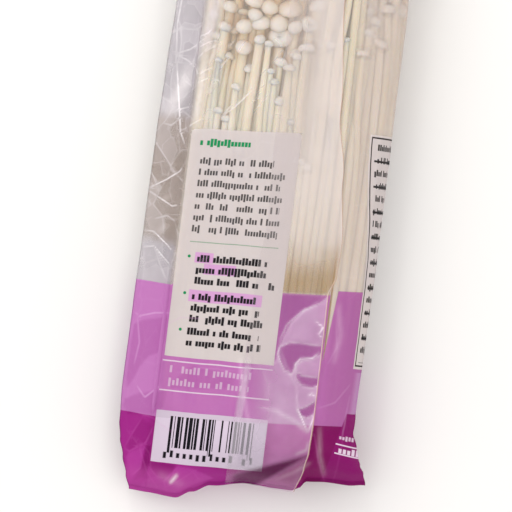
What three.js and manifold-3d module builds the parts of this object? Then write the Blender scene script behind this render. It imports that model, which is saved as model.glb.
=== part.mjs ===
// A bunch of enoki mushrooms sealed in a clear pillow bag, lying on its printed front with the seam side up.
// Millimetres, +Z up. X runs across the bag and Y from its lower seal to its upper seal.
import * as THREE from "three";
import { LoftGeometry } from "three/addons/geometries/LoftGeometry.js";
import { mergeVertices } from "three/addons/utils/BufferGeometryUtils.js";
import Module from "manifold-3d";

// Film
const wall = 0.3;
const gap = 0.3;
const bagLength = 246;
const lowerSeal = 3;
const hollowBottom = 8;
const lowerBulge = 17;
const shoulder = 208;
const upperSeal = 238;
const ripple = 24;
const sealHeight = 10;
const bodyMiddle = 20;
const domeRise = 20.5;
const domeDrop = 24;
const roundness = 2.6;
const bodyLeft = -36.5;
const sideLip = 0.2;
const bodyInset = 0.6;
const bodySteps = 14;
// The hollow's surface stands this far inside the middle of the film
const innerSkin = 0.02;
const lowerHeights = [0, 3, 5, 8, 12, 16, 20, 24, 50, 80, 110];
const upperHeights = [140, 170, 195, 208, 214, 220, 226, 232, 238, bagLength];
const filmHeights = [...lowerHeights, ...upperHeights];
const ventRadius = 1.5;
const ventAt = new THREE.Vector3(-20, 226, 30);

// Edges of the film as it lies: height up the bag, then distance across it
const leftEdge = curveThrough([-7, -44], [22, -49.5], [100, -49.4], [180, -48], [232, -54], [246, -54]);
const rightEdge = curveThrough([-7, 46], [24, 39.5], [120, 40.4], [180, 41.5], [232, 52], [246, 52]);
// Lower free edge: distance across the bag, then height up it
const lowerEdge = curveThrough([-54, -6], [-40, -6.4], [-27, -6.7], [-8, 0.8], [8, 3], [22, 3.5], [46, 7]);

// Overlap of the back seam
const flapGap = 0.5;
const flapBottom = 8;
const flapLeft = -4.5;
const flapRightLow = [[0, 20.5], [8, 22.3], [17, 24.3], [80, 25.3]];
const flapRightHigh = [[94, 26.7], [145, 20], [190, 16.2], [238, 14]];
const flapRight = curveThrough(...flapRightLow, ...flapRightHigh);

// Root end and tufts of stems
const bunchX = 2;
const bunchZ = 20.5;
const rootBottom = 11;
const rootTop = 25.5;
const rootHalfWidth = 33.5;
const rootHalfHeight = 15.5;
const tuftSpacing = 8;
const tuftRows = 2;
const tuftRadius = 3.7;
const lobes = 4;
const grooveShare = 0.76;
const columnSteps = 5;
const capRadius = 3.9;
// Two tiers of caps: distance below the tuft's top, then radius
const capProfile = [[0, 1.6], [1.5, 3.1], [3.2, capRadius], [4, 2.9], [9, 3], [11, capRadius], [12, 3.1]];
const tallTop = 206;
const shortTop = 187;
const shortGroupEdge = -6;
const heightSpread = 7;
const clearance = 0.5;

const filmColor = 0xd8cbe0;
const stemColor = 0xece2c4;
const rootColor = 0xc8b184;

const wasm = await Module();
wasm.setup();

// A value that eases between the given [position, value] pairs
function curveThrough(...pairs) {
  return (at) => {
    const next = pairs.findIndex(([position]) => position > at);
    if (next < 0) return pairs.at(-1)[1];
    if (next === 0) return pairs[0][1];
    const [fromAt, from] = pairs[next - 1];
    const [toAt, to] = pairs[next];
    return THREE.MathUtils.lerp(from, to, THREE.MathUtils.smoothstep(at, fromAt, toAt));
  };
}

// A steady number from 0 to 1 for each index
function scatter(index) {
  const value = Math.sin(index * 12.9898) * 43758.5453;
  return value - Math.floor(value);
}

function toSolid(geometry) {
  const bare = new THREE.BufferGeometry();
  bare.setAttribute("position", geometry.getAttribute("position"));
  bare.setIndex(geometry.getIndex());
  const merged = mergeVertices(bare, 1e-3);
  return new wasm.Manifold(
    new wasm.Mesh({
      numProp: 3,
      vertProperties: new Float32Array(merged.attributes.position.array),
      triVerts: new Uint32Array(merged.index.array),
    }),
  );
}

function toGeometry(solid) {
  const mesh = solid.getMesh();
  const geometry = new THREE.BufferGeometry();
  geometry.setAttribute("position", new THREE.BufferAttribute(mesh.vertProperties, 3));
  geometry.setIndex(new THREE.BufferAttribute(mesh.triVerts, 1));
  geometry.computeVertexNormals();
  return geometry;
}

function named(name, solid, color, roughness) {
  const material = new THREE.MeshStandardMaterial({ color, roughness, metalness: 0 });
  const mesh = new THREE.Mesh(toGeometry(solid), material);
  mesh.name = name;
  return mesh;
}

// How full the bag is at a height: 0 where its plies are sealed together, 1 along the bunch
function fullness(y) {
  if (y <= lowerSeal || y >= upperSeal) return 0;
  if (y < lowerSeal + lowerBulge) {
    const left = 1 - (y - lowerSeal) / lowerBulge;
    return (1 - left ** 2.4) ** (1 / 2.4);
  }
  if (y > shoulder) return 0.5 + 0.5 * Math.cos((Math.PI * (y - shoulder)) / (upperSeal - shoulder));
  return 1;
}

// Height of the film's middle plane: level through the body, drooping along the empty left margin
function middlePlane(x, y) {
  const droop = THREE.MathUtils.smoothstep(bodyLeft - x, 0, 13);
  const body = THREE.MathUtils.lerp(bodyMiddle, sealHeight, droop);
  return THREE.MathUtils.lerp(sealHeight, body, fullness(y));
}

// Share of the full bulge at x, from 0 at the body's edges to 1 over its middle
function bulge(x, y, inset) {
  const right = rightEdge(y) - sideLip;
  const middle = (bodyLeft + right) / 2;
  const across = Math.min(1, Math.abs(x - middle) / ((right - bodyLeft) / 2 - inset));
  return (1 - across ** roundness) ** (1 / roundness);
}

function upperPly(x, y, inset, skin) {
  return middlePlane(x, y) + skin + domeRise * bulge(x, y, inset) * fullness(y);
}

function lowerPly(x, y, inset, skin) {
  const sagged = middlePlane(x, y) - skin - domeDrop * bulge(x, y, inset) * fullness(y);
  return Math.max(wall - skin, sagged);
}

// Where a station's film lies along the bag: the lower end follows the wavy free edge
function alongBag(x, y, endInset) {
  const fromBelow = 1 - THREE.MathUtils.smoothstep(y, 0, ripple);
  const fromAbove = THREE.MathUtils.smoothstep(y, shoulder, upperSeal);
  return y + fromBelow * (lowerEdge(x) + endInset) - fromAbove * endInset;
}

// One ring round the bag at a height, over the upper ply and back along the lower one
function filmRing(y, xs, inset, skin) {
  const over = xs.map((x) => new THREE.Vector3(x, alongBag(x, y, inset), upperPly(x, y, inset, skin)));
  const under = xs.map((x) => new THREE.Vector3(x, alongBag(x, y, inset), lowerPly(x, y, inset, skin)));
  return [...over, ...under.reverse()];
}

// Places across the body, closer together where it turns down at the sides
function acrossBody(y, inset) {
  const right = rightEdge(y) - sideLip - inset;
  const left = bodyLeft + inset;
  return Array.from({ length: bodySteps + 1 }, (_, step) => {
    const share = 0.5 - 0.5 * Math.cos((Math.PI * step) / bodySteps);
    return THREE.MathUtils.lerp(left, right, share);
  });
}

function filmBag() {
  const outer = filmHeights.map((y) => {
    const margin = [0, 0.35, 0.7].map((share) => THREE.MathUtils.lerp(leftEdge(y), bodyLeft, share));
    return filmRing(y, [...margin, ...acrossBody(y, 0), rightEdge(y)], 0, wall);
  });
  const hollow = filmHeights.filter((y) => y >= hollowBottom && y < upperSeal);
  const inner = hollow.map((y) => filmRing(y, acrossBody(y, bodyInset), bodyInset, innerSkin));
  const capped = { capStart: true, capEnd: true };
  const vent = new THREE.CylinderGeometry(ventRadius, ventRadius, 30, 12);
  vent.rotateX(Math.PI / 2);
  vent.translate(ventAt.x, ventAt.y, ventAt.z);
  return toSolid(new LoftGeometry(outer, capped))
    .subtract(toSolid(new LoftGeometry(inner, capped)))
    .subtract(toSolid(vent));
}

// The free strip of the back seam: a ribbon of film lying on the upper ply
function backFlap() {
  const heights = filmHeights.filter((y) => y >= flapBottom && y < upperSeal);
  const shares = [0, 0.25, 0.5, 0.75, 1];
  const sections = heights.map((y) => {
    const xs = shares.map((share) => THREE.MathUtils.lerp(flapLeft, flapRight(y), share));
    const lying = (x, skin) => {
      const z = upperPly(x, y, 0, wall + flapGap + skin);
      return new THREE.Vector3(x, alongBag(x, y, 0), z);
    };
    return [...xs.map((x) => lying(x, wall)), ...xs.map((x) => lying(x, 0)).reverse()];
  });
  return toSolid(new LoftGeometry(sections, { capStart: true, capEnd: true }));
}

// The pressed block of root threads that the stems grow from
function rootBase() {
  const profile = [
    [0, rootBottom],
    [0.6, rootBottom + 0.8],
    [0.85, rootBottom + 3.5],
    [1, rootBottom + 9],
    [0.97, rootTop],
    [0, rootTop],
  ];
  const points = profile.map(([radius, height]) => new THREE.Vector2(radius, height));
  const block = new THREE.LatheGeometry(points, 28);
  block.scale(rootHalfWidth, 1, rootHalfHeight);
  block.translate(bunchX, 0, bunchZ);
  return toSolid(block);
}

// Where a point of the bunch's section at grid place (across, up) runs at a height
function stemPoint(across, up, y) {
  const spread = curveThrough([rootTop, 0.95], [90, 1], [200, 1.04]);
  const swayX = 1.3 * Math.sin((y - rootTop) / 38);
  const swayZ = 0.6 * Math.sin((y - rootTop) / 27);
  return new THREE.Vector3(
    bunchX + across * spread(y) + swayX,
    y,
    bunchZ + up * spread(y) + swayZ,
  );
}

function fitsInside(across, up, y) {
  const at = stemPoint(across, up, y);
  const reach = capRadius + clearance;
  return [0, 45, 90, 135, 180, 225, 270, 315].every((degrees) => {
    const x = at.x + reach * Math.cos(THREE.MathUtils.degToRad(degrees));
    const z = at.z + reach * Math.sin(THREE.MathUtils.degToRad(degrees));
    return z < upperPly(x, y, bodyInset, 0) && z > lowerPly(x, y, bodyInset, 0);
  });
}

// A handful of stems grown side by side: one grooved column, wider where their caps are
function tuft(across, up, index) {
  const wanted = across < shortGroupEdge && up > 0 ? shortTop : tallTop;
  let top = wanted + heightSpread * (2 * scatter(index) - 1);
  while (top > 150 && !fitsInside(across, up, top)) top -= 1;
  const bottom = rootTop + gap;
  const columnTop = top - capProfile.at(-1)[0] - 3;
  const stations = Array.from({ length: columnSteps + 1 }, (_, step) => [
    THREE.MathUtils.lerp(bottom, columnTop, step / columnSteps),
    tuftRadius,
  ]);
  stations.push(...capProfile.map(([below, radius]) => [top - below, radius]).reverse());
  const turned = scatter(index + 0.5) * Math.PI;
  const sections = stations.map(([y, radius]) => {
    const centre = stemPoint(across, up, y);
    return Array.from({ length: 2 * lobes }, (_, corner) => {
      const reach = corner % 2 ? radius * grooveShare : radius;
      const angle = turned - (Math.PI * corner) / lobes;
      return new THREE.Vector3(centre.x + reach * Math.cos(angle), y, centre.z + reach * Math.sin(angle));
    });
  });
  return toSolid(new LoftGeometry(sections, { capStart: true, capEnd: true }));
}

// Grid places of the tufts: rows of a close-packed pattern that follow the bag's rounded section
function tuftPlaces() {
  const rowRise = (tuftSpacing * Math.sqrt(3)) / 2;
  const places = [];
  for (let row = -tuftRows; row <= tuftRows; row++) {
    const shift = row % 2 ? tuftSpacing / 2 : 0;
    for (let step = -5; step <= 5; step++) {
      const across = step * tuftSpacing + shift;
      const up = row * rowRise;
      if ([rootTop + 2, 100, 180].every((y) => fitsInside(across, up, y))) places.push([across, up]);
    }
  }
  return places;
}

const bag = new THREE.Group();
bag.add(named("film_bag", filmBag(), filmColor, 0.15));
bag.add(named("back_seam_flap", backFlap(), filmColor, 0.2));
bag.add(named("root_base", rootBase(), rootColor, 0.8));
tuftPlaces().forEach(([across, up], index) => {
  const number = String(index + 1).padStart(2, "0");
  bag.add(named("tuft_" + number, tuft(across, up, index), stemColor, 0.5));
});

// The origin is on the surface under the middle of the bag
const extent = new THREE.Box3().setFromObject(bag);
const middle = extent.getCenter(new THREE.Vector3());
bag.position.set(-middle.x, -middle.y, -extent.min.z);

const object = new THREE.Group();
object.add(bag);
export default object;
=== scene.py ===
import math

import bpy
import numpy as np
from mathutils import Euler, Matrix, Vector
from mathutils.bvhtree import BVHTree


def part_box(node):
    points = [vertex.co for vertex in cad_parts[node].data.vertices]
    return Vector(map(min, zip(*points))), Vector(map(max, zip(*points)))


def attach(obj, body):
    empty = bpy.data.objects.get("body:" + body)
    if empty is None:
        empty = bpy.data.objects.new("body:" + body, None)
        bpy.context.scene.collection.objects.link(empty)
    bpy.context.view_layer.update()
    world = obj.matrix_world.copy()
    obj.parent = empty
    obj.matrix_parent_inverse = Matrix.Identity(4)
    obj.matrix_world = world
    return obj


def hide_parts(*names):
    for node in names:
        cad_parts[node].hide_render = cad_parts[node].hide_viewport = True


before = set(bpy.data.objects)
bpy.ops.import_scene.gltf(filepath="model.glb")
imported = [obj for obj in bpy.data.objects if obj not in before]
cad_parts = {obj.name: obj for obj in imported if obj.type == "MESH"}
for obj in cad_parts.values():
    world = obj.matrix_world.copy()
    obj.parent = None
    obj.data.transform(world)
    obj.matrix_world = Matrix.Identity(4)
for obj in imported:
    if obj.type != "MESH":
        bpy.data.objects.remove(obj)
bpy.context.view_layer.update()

# Everything below is worked out in millimetres: x across the bag, y along it from the lower seal up,
# z up from the table.
mm = 0.001
bag = {
    "left": -54.0,
    "bottom": -6.7,
    "length": 246.0,
    "lowerSeal": 1.5,
    "lowerBulge": 19.0,
    "shoulder": 208.0,
    "upperSeal": 238.0,
    "ripple": 24.0,
    "sealHeight": 10.0,
    "bodyMiddle": 20.0,
    "domeRise": 20.5,
    "domeDrop": 24.0,
    "roundness": 2.6,
    "bodyLeft": -36.5,
    "sideLip": 0.2,
    "skin": 0.15,
}
# The bag's left and right edges at each height, and how far up or down its lower edge hangs
leftEdge = (
    (0, -42.8), (5, -44.7), (10, -46.7), (15, -48.6), (20, -49.6), (33, -50.2), (65, -49.9), (95, -49.4),
    (130, -49), (155, -48.3), (180, -47.4), (232, -54), (246, -54),
)
rightEdge = (
    (0, 46.5), (5, 45.2), (10, 43.4), (15, 42.3), (20, 41.2), (26, 40.2), (40, 40.1), (70, 41), (115, 41.8),
    (140, 41.9), (160, 40.8), (175, 40.3), (191, 42.5), (232, 52), (246, 52),
)
lowerEdge = (
    (-54, -5.4), (-43, -6.0), (-36, -6.4), (-25, -7.2), (-19, -4.2), (-12, -0.9), (2, 1.6), (12, 1.0),
    (19, 0.9), (21.5, 2.2), (24, 5.0), (32, 5.6), (40, 5.4), (46, 6.2),
)

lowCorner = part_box("film_bag")[0]
shiftX = lowCorner.x / mm - bag["left"]
shiftY = lowCorner.y / mm - bag["bottom"]


# From millimetres along the bag to the frame's metres
def place(points):
    points = np.asarray(points, float)
    return (points + np.array([shiftX, shiftY, 0.0])) * mm


def ease(value, start, end):
    share = np.clip((value - start) / (end - start), 0, 1)
    return share * share * (3 - 2 * share)


# Values read off a list of pairs, eased from each pair to the next
def through(at, pairs):
    at = np.asarray(at, float)
    places, values = np.array(pairs, float).T
    after = np.clip(np.searchsorted(places, at, side="right"), 1, len(places) - 1)
    share = ease(at, places[after - 1], places[after])
    return values[after - 1] + (values[after] - values[after - 1]) * share


# How full the bag is at a height: nothing at the seals, all along the bunch
def fullness(y):
    y = np.asarray(y, float)
    low, high = bag["lowerSeal"], bag["upperSeal"]
    short = 1 - np.clip((y - low) / bag["lowerBulge"], 0, 1)
    rise = np.sqrt(1 - short ** 2)
    fall = 0.5 + 0.5 * np.cos(np.pi * np.clip((y - bag["shoulder"]) / (high - bag["shoulder"]), 0, 1))
    return rise * fall


# The height halfway between the two plies, lower in the empty margin
def middlePlane(x, y):
    droop = ease(bag["bodyLeft"] - x, 0, 13)
    body = bag["bodyMiddle"] + (bag["sealHeight"] - bag["bodyMiddle"]) * droop
    return bag["sealHeight"] + (body - bag["sealHeight"]) * fullness(y)


# How far the bag's section rises across it: nothing at its sides
def bulge(x, y):
    right = through(y, rightEdge) - bag["sideLip"]
    middle = (bag["bodyLeft"] + right) / 2
    across = np.clip(np.abs(x - middle) / ((right - bag["bodyLeft"]) / 2), 0, 1)
    return (1 - across ** bag["roundness"]) ** (1 / bag["roundness"])


def upperPly(x, y, skin):
    return middlePlane(x, y) + skin + bag["domeRise"] * bulge(x, y) * fullness(y)


def lowerPly(x, y, skin):
    sagged = middlePlane(x, y) - skin - bag["domeDrop"] * bulge(x, y) * fullness(y)
    return np.maximum(0.3 - skin, sagged)


# The lower edge's waves, which fade out up the bag
def alongBag(x, y):
    return y + (1 - ease(y, 0, bag["ripple"])) * through(x, lowerEdge)


def linked(name, data):
    made = bpy.data.objects.new(name, data)
    bpy.context.scene.collection.objects.link(made)
    return made


def meshObject(name, points, faces, smooth=True, edges=()):
    mesh = bpy.data.meshes.new(name)
    mesh.from_pydata([tuple(p) for p in points], edges, [tuple(int(i) for i in f) for f in faces])
    mesh.validate()
    mesh.update()
    if smooth:
        mesh.polygons.foreach_set("use_smooth", [True] * len(mesh.polygons))
    return linked(name, mesh)


# Four-cornered faces between neighbouring rows of points, each row closed on itself or open
def quads(rows, columns, closed=True):
    faces = []
    for row in range(rows - 1):
        low, high = row * columns, (row + 1) * columns
        for k in range(columns if closed else columns - 1):
            after = (k + 1) % columns
            faces.append((low + k, low + after, high + after, high + k))
    return faces


# The same faces, seen from their other side
def turnedOver(faces):
    return [face[:1] + face[:0:-1] for face in faces]


def storeOnPoints(mesh, name, values, kind="FLOAT"):
    held = mesh.attributes.new(name, kind, "POINT")
    key = "vector" if kind == "FLOAT_VECTOR" else "value"
    held.data.foreach_set(key, np.asarray(values).ravel())


def pointsOf(mesh):
    found = np.empty(len(mesh.vertices) * 3)
    mesh.vertices.foreach_get("co", found)
    return found.reshape(-1, 3)


def normalsOf(mesh):
    found = np.empty(len(mesh.vertices) * 3, np.float32)
    mesh.vertex_normals.foreach_get("vector", found)
    return found.reshape(-1, 3).astype(float)


# A colour from its six digits, in linear light
def hexColor(text):
    shares = [int(text[i:i + 2], 16) / 255 for i in (0, 2, 4)]
    return tuple(s / 12.92 if s <= 0.04045 else ((s + 0.055) / 1.055) ** 2.4 for s in shares) + (1.0,)


# An output of a shader node, on which sums are written as plain sums
class Wire:
    def __init__(self, graph, socket):
        self.graph = graph
        self.socket = socket

    def math(self, operation, first, second):
        return self.graph.node("ShaderNodeMath", {"operation": operation}, {0: first, 1: second})

    def __add__(self, other):
        return self.math("ADD", self, other)

    def __radd__(self, other):
        return self.math("ADD", other, self)

    def __sub__(self, other):
        return self.math("SUBTRACT", self, other)

    def __rsub__(self, other):
        return self.math("SUBTRACT", other, self)

    def __mul__(self, other):
        return self.math("MULTIPLY", self, other)

    def __rmul__(self, other):
        return self.math("MULTIPLY", other, self)

    def __truediv__(self, other):
        return self.math("DIVIDE", self, other)

    def __gt__(self, other):
        return self.math("GREATER_THAN", self, other)

    def __lt__(self, other):
        return self.math("LESS_THAN", self, other)

    def __mod__(self, other):
        return self.math("FLOORED_MODULO", self, other)

    def floor(self):
        return self.graph.node("ShaderNodeMath", {"operation": "FLOOR"}, {0: self})

    def size(self):
        return self.graph.node("ShaderNodeMath", {"operation": "ABSOLUTE"}, {0: self})

    def atLeast(self, other):
        return self.math("MAXIMUM", self, other)

    def atMost(self, other):
        return self.math("MINIMUM", self, other)


# A material and the nodes that are added to it
class Graph:
    def __init__(self, name):
        self.material = bpy.data.materials.new(name)
        self.material.use_nodes = True
        self.tree = self.material.node_tree
        self.tree.nodes.clear()

    def node(self, kind, settings=None, sockets=None, out=0):
        made = self.tree.nodes.new(kind)
        for key, value in (settings or {}).items():
            setattr(made, key, value)
        for key, value in (sockets or {}).items():
            if isinstance(value, Wire):
                self.tree.links.new(value.socket, made.inputs[key])
            else:
                made.inputs[key].default_value = value
        return Wire(self, made.outputs[out])

    def attribute(self, name, out="Fac"):
        return self.node("ShaderNodeAttribute", {"attribute_name": name}, out=out)

    def spot(self):
        return self.node("ShaderNodeTexCoord", out="Object")

    def parts(self, vector):
        split = self.node("ShaderNodeSeparateXYZ", {}, {0: vector}).socket.node
        return [Wire(self, split.outputs[i]) for i in range(3)]

    def vector(self, x, y, z):
        return self.node("ShaderNodeCombineXYZ", {}, {0: x, 1: y, 2: z})

    def step(self, value, start, end):
        settings = {"interpolation_type": "SMOOTHSTEP"}
        return self.node("ShaderNodeMapRange", settings, {"Value": value, "From Min": start, "From Max": end})

    def band(self, value, low, high, soft):
        return self.step(value, low - soft, low + soft) * (1 - self.step(value, high - soft, high + soft))

    def noise(self, vector, scale, detail):
        return self.node("ShaderNodeTexNoise", {}, {"Vector": vector, "Scale": scale, "Detail": detail})

    def chance(self, x, y, z=0.0):
        return self.node("ShaderNodeTexWhiteNoise", {}, {"Vector": self.vector(x, y, z)})

    def blend(self, share, first, second):
        sockets = {0: share, 6: first, 7: second}
        return self.node("ShaderNodeMix", {"data_type": "RGBA"}, sockets, out=2)

    def paint(self, share, below, color):
        return self.blend(share, below, hexColor(color))

    def bump(self, height, strength, distance):
        sockets = {"Strength": strength, "Distance": distance, "Height": height}
        return self.node("ShaderNodeBump", {}, sockets)

    def principled(self, **sockets):
        plain = {key.replace("_", " "): value for key, value in sockets.items()}
        return self.node("ShaderNodeBsdfPrincipled", {}, plain)

    def finish(self, surface):
        output = self.tree.nodes.new("ShaderNodeOutputMaterial")
        self.tree.links.new(surface.socket, output.inputs["Surface"])
        return self.material


# The bunch: each mushroom's stem, cap and height, in millimetres
bunch = {
    "stems": 236,
    "centre": (2.2, 20.3),
    "reach": (37.9, 19.4),
    "base": 25.8,
    "stemRadius": (1.2, 1.8),
    "capGrowth": (1.55, 2.15),
    "tall": (186.0, 212.0),
    "shortLeftOf": 3.0,
    "shortTops": (156.0, 188.0),
    "wideCap": 2.2,
    "dive": 5.0,
    "wander": 1.5,
    "turns": 110,
    "push": 0.42,
    "soften": 0.35,
    "pull": 0.5,
    "spread": 0.97,
    "frontStem": (1.2, 2.1),
    "driftAcross": (0.5, 0.3),
    "gone": 0.02,
    "belowCap": 1.8,
    "hiddenRightOf": 12,
    "lowered": (4, 20),
    "loweredTops": (118, 130),
    "loweredGrowth": (1.2, 1.45),
    "capKinds": (0, 0, 1, 2),
    "seenDepth": 10,
    "shareStation": 6,
    "pathStep": 4.2,
    "tubeSides": 12,
    "seed": 11,
}
# Heights at which the mushrooms are kept apart
stations = np.array([
    26.0, 36, 52, 70, 90, 108, 124, 136, 146, 154, 161, 167, 173, 179, 185, 191, 198, 205, 212,
])

# Mushrooms that end in sight under the film: place across and along the bag, width of the cap, cap shape
frontCaps = (
    (-3.7, 181.8, 10.2, 0), (-11.7, 181.6, 7.0, 1), (-17.1, 183.4, 8.0, 0), (-16.6, 178.2, 6.0, 0),
    (-14.2, 175.2, 7.2, 0), (-7.6, 176.1, 8.2, 0), (-1.5, 175.3, 5.8, 1), (4.0, 177.0, 6.8, 2),
    (-6.8, 170.7, 9.2, 2), (-20.0, 173.2, 7.0, 1), (-13.9, 169.0, 5.0, 1), (-20.1, 165.4, 7.0, 0),
    (-26.5, 180.2, 6.0, 0), (-10.9, 168.0, 3.2, 1), (-9.2, 188.4, 7.6, 1), (0.4, 188.0, 7.4, 0),
    (-16.0, 190.4, 7.4, 2), (-23.5, 187.5, 6.6, 0), (6.0, 184.2, 6.4, 0), (-27.6, 172.4, 5.0, 1),
    (-26.5, 140.7, 3.8, 1), (-23.2, 137.8, 4.4, 1), (-28.8, 159.8, 3.2, 1), (-20.8, 150.2, 3.6, 1),
    (25.9, 184.9, 3.4, 1), (28.4, 181.2, 5.4, 1), (26.9, 177.0, 4.0, 1), (13.0, 170.2, 4.2, 1),
    (0.8, 164.4, 4.2, 1), (18.6, 173.0, 3.2, 1), (-6.9, 153.8, 4.2, 1), (-3.8, 147.0, 4.4, 1),
    (1.4, 139.6, 3.4, 1), (16.8, 142.0, 3.4, 1), (-8.4, 157.8, 3.0, 1),
)


# Where each mushroom stands, its stem's and its cap's radius and where it ends. The front ones come last.
def sizeStems(rng):
    common, count = bunch["stems"], bunch["stems"] + len(frontCaps)
    ahead = np.array(frontCaps)
    reach, power = np.array(bunch["reach"]), bag["roundness"]
    turn = np.arange(count) * math.pi * (3 - math.sqrt(5))
    out = np.sqrt((np.arange(count) + 0.5) / common)
    out = out * (np.abs(np.cos(turn)) ** power + np.abs(np.sin(turn)) ** power) ** (-1 / power)
    places = np.stack([out * np.cos(turn), out * np.sin(turn)], 1) * reach * bunch["spread"]
    radius = rng.uniform(*bunch["stemRadius"], count)
    cap = radius * rng.uniform(*bunch["capGrowth"], count)
    top = rng.uniform(*bunch["tall"], count)
    short = places[:, 0] < bunch["shortLeftOf"] - bunch["centre"][0]
    layer = ease(places[:, 1], -6, 13)
    top[short] = (top + layer * (rng.uniform(*bunch["shortTops"], count) - top))[short]
    cap[common:] = ahead[:, 2] / 2
    radius[common:] = np.clip(cap[common:] * 0.8, *bunch["frontStem"]) * rng.uniform(0.92, 1.08, len(ahead))
    top[common:] = ahead[:, 1] + 0.35 * cap[common:]
    places[common:, 0] = ahead[:, 0] - bunch["centre"][0]
    across = np.clip(np.abs(places[common:, 0] / reach[0]), 0, 0.97)
    skin = reach[1] * (1 - across ** power) ** (1 / power)
    places[common:, 1] = skin - cap[common:] - 0.14 * np.clip(ahead[:, 1] - 168, 0, 20)
    return places, radius, cap, top


# Which front mushrooms pass a wide cap that ends lower than theirs
def passesWideCap():
    x, y, width = np.array(frontCaps)[:, :3].T
    higher = y[:, None] - y[None]
    aside = np.abs(x[:, None] - x[None])
    covered = (higher > 1.5) & (higher < 26) & (aside < 0.4 * (width[:, None] + width[None]))
    return (covered & (width[None] > 4.5)).any(1)


# The path that each stem would take on its own, and how firmly it keeps to it at each height
def aimStems(rng, places, top):
    common, reached = bunch["stems"], stations[:, None]
    drift = rng.normal(0, 1, (4, len(places), 2))
    bends = [np.sin(stations / 31), np.cos(stations / 43), np.sin(stations / 19), np.cos(stations / 67)]
    wandered = np.einsum("ks,knc->snc", np.array(bends), drift) * np.array(bunch["driftAcross"])
    aim = places[None] + bunch["wander"] * wandered
    held = np.zeros((len(stations), len(places), 1))
    held[:, common:, 0] = ease(reached, top[None, common:] - 45, top[None, common:] - 12)
    straight = np.repeat(places[None], len(stations), 0)
    straight[:, common:, 1] -= bunch["dive"] * passesWideCap() * ease(top[None, common:] - reached, 3, 11)
    return aim * (1 - held) + straight * held, held


# Stems are discs at each station: they push each other apart, stay in the bag and bend only gently
def pushApart(aim, held, size):
    at = aim.copy()
    same = range(size.shape[1])
    full = fullness(stations) * (0.94 + 0.06 * ease(stations, 26, 60))
    for turnNumber in range(bunch["turns"]):
        apart = at[:, :, None] - at[:, None]
        gap = np.sqrt((apart ** 2).sum(-1)) + 1e-6
        push = np.clip(size[:, :, None] + size[:, None] - gap, 0, None) / gap * 0.5
        push[:, same, same] = 0
        at = at + bunch["push"] * (apart * push[..., None]).sum(2)
        soft = at.copy()
        soft[1:-1] = 0.5 * at[1:-1] + 0.25 * (at[:-2] + at[2:])
        at = at + bunch["soften"] * (soft - at) + (0.01 + bunch["pull"] * held) * (aim - at)
        room = np.stack([bunch["reach"][0] * np.minimum(1, 0.3 + 0.7 * full[:, None]) - size,
                         bunch["reach"][1] * full[:, None] - size], -1)
        beyond = ((np.abs(at) / np.maximum(room, 0.5)) ** bag["roundness"]).sum(-1)
        at = at / np.maximum(1, beyond ** (1 / bag["roundness"]))[..., None]
    return at


# Stems that would stand in front of a wide front cap end below it
def clearCaps(rng, at, radius, cap, top):
    common = bunch["stems"]
    for number in np.flatnonzero(cap[common:] > bunch["wideCap"]) + common:
        level = np.abs(stations - top[number] + cap[number]).argmin()
        offset = at[level, :common] - at[level, number]
        below = top[number] - bunch["belowCap"] * cap[number]
        hides = (np.abs(offset[:, 0]) < radius[:common] + cap[number] * 0.85) & (offset[:, 1] > -1.0)
        hides = np.flatnonzero(hides & (top[:common] > below))
        if frontCaps[number - common][0] < bunch["hiddenRightOf"]:
            lowered = below - rng.uniform(*bunch["lowered"], len(hides))
            top[hides] = np.minimum(lowered, rng.uniform(*bunch["loweredTops"], len(hides)))
            cap[hides] = radius[hides] * rng.uniform(*bunch["loweredGrowth"], len(hides))
        else:
            top[hides] = below - 3 - 5 * np.arange(len(hides))


# The whole bunch: each stem's place at every station, its size, its cap's kind and where it ends
def growBunch():
    rng = np.random.default_rng(bunch["seed"])
    places, radius, cap, top = sizeStems(rng)
    reached = stations[:, None]
    near = np.exp(-((reached - (top - cap * 0.4)[None]) / (cap[None] * 0.8 + 1.6)) ** 2)
    size = radius[None] + (cap - radius)[None] * near
    size = np.where(reached > top[None] + 3, bunch["gone"], size)
    at = pushApart(*aimStems(rng, places, top), size)
    clearCaps(rng, at, radius, cap, top)
    kind = rng.choice(bunch["capKinds"], len(top))
    kind[bunch["stems"]:] = np.array(frontCaps)[:, 3]
    level = np.abs(reached - top[None]).argmin(0)
    seen = at[level, np.arange(len(top)), 1] > bunch["reach"][1] - bunch["seenDepth"]
    kind = np.where(seen, kind, kind + len(capOutlines))
    return at + np.array(bunch["centre"]), radius, cap, top, kind, rng


# A stem's path at finer heights, with its corners eased
def easedTrack(track, heights):
    eased = np.stack([np.interp(heights, stations, track[:, k]) for k in (0, 1)])
    for turnNumber in range(4):
        eased[:, 1:-1] = 0.5 * eased[:, 1:-1] + 0.25 * (eased[:, :-2] + eased[:, 2:])
    return eased


# Cap outlines from the crown round the rim and in under it, for a radius of one
capOutlines = {
    "dome": ((0, 0.78), (0.3, 0.75), (0.58, 0.63), (0.8, 0.43), (0.94, 0.18), (1, -0.06), (0.98, -0.26),
             (0.9, -0.42), (0.7, -0.5), (0.45, -0.46), (0, -0.42)),
    "button": ((0, 0.86), (0.32, 0.83), (0.62, 0.68), (0.85, 0.42), (0.97, 0.12), (1, -0.14), (0.93, -0.4),
               (0.76, -0.58), (0.52, -0.66), (0.3, -0.66), (0, -0.66)),
    "dimpled": ((0, 0.34), (0.14, 0.38), (0.34, 0.52), (0.6, 0.54), (0.82, 0.4), (0.95, 0.16), (1, -0.08),
                (0.96, -0.28), (0.8, -0.44), (0.5, -0.44), (0, -0.4)),
}


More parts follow.
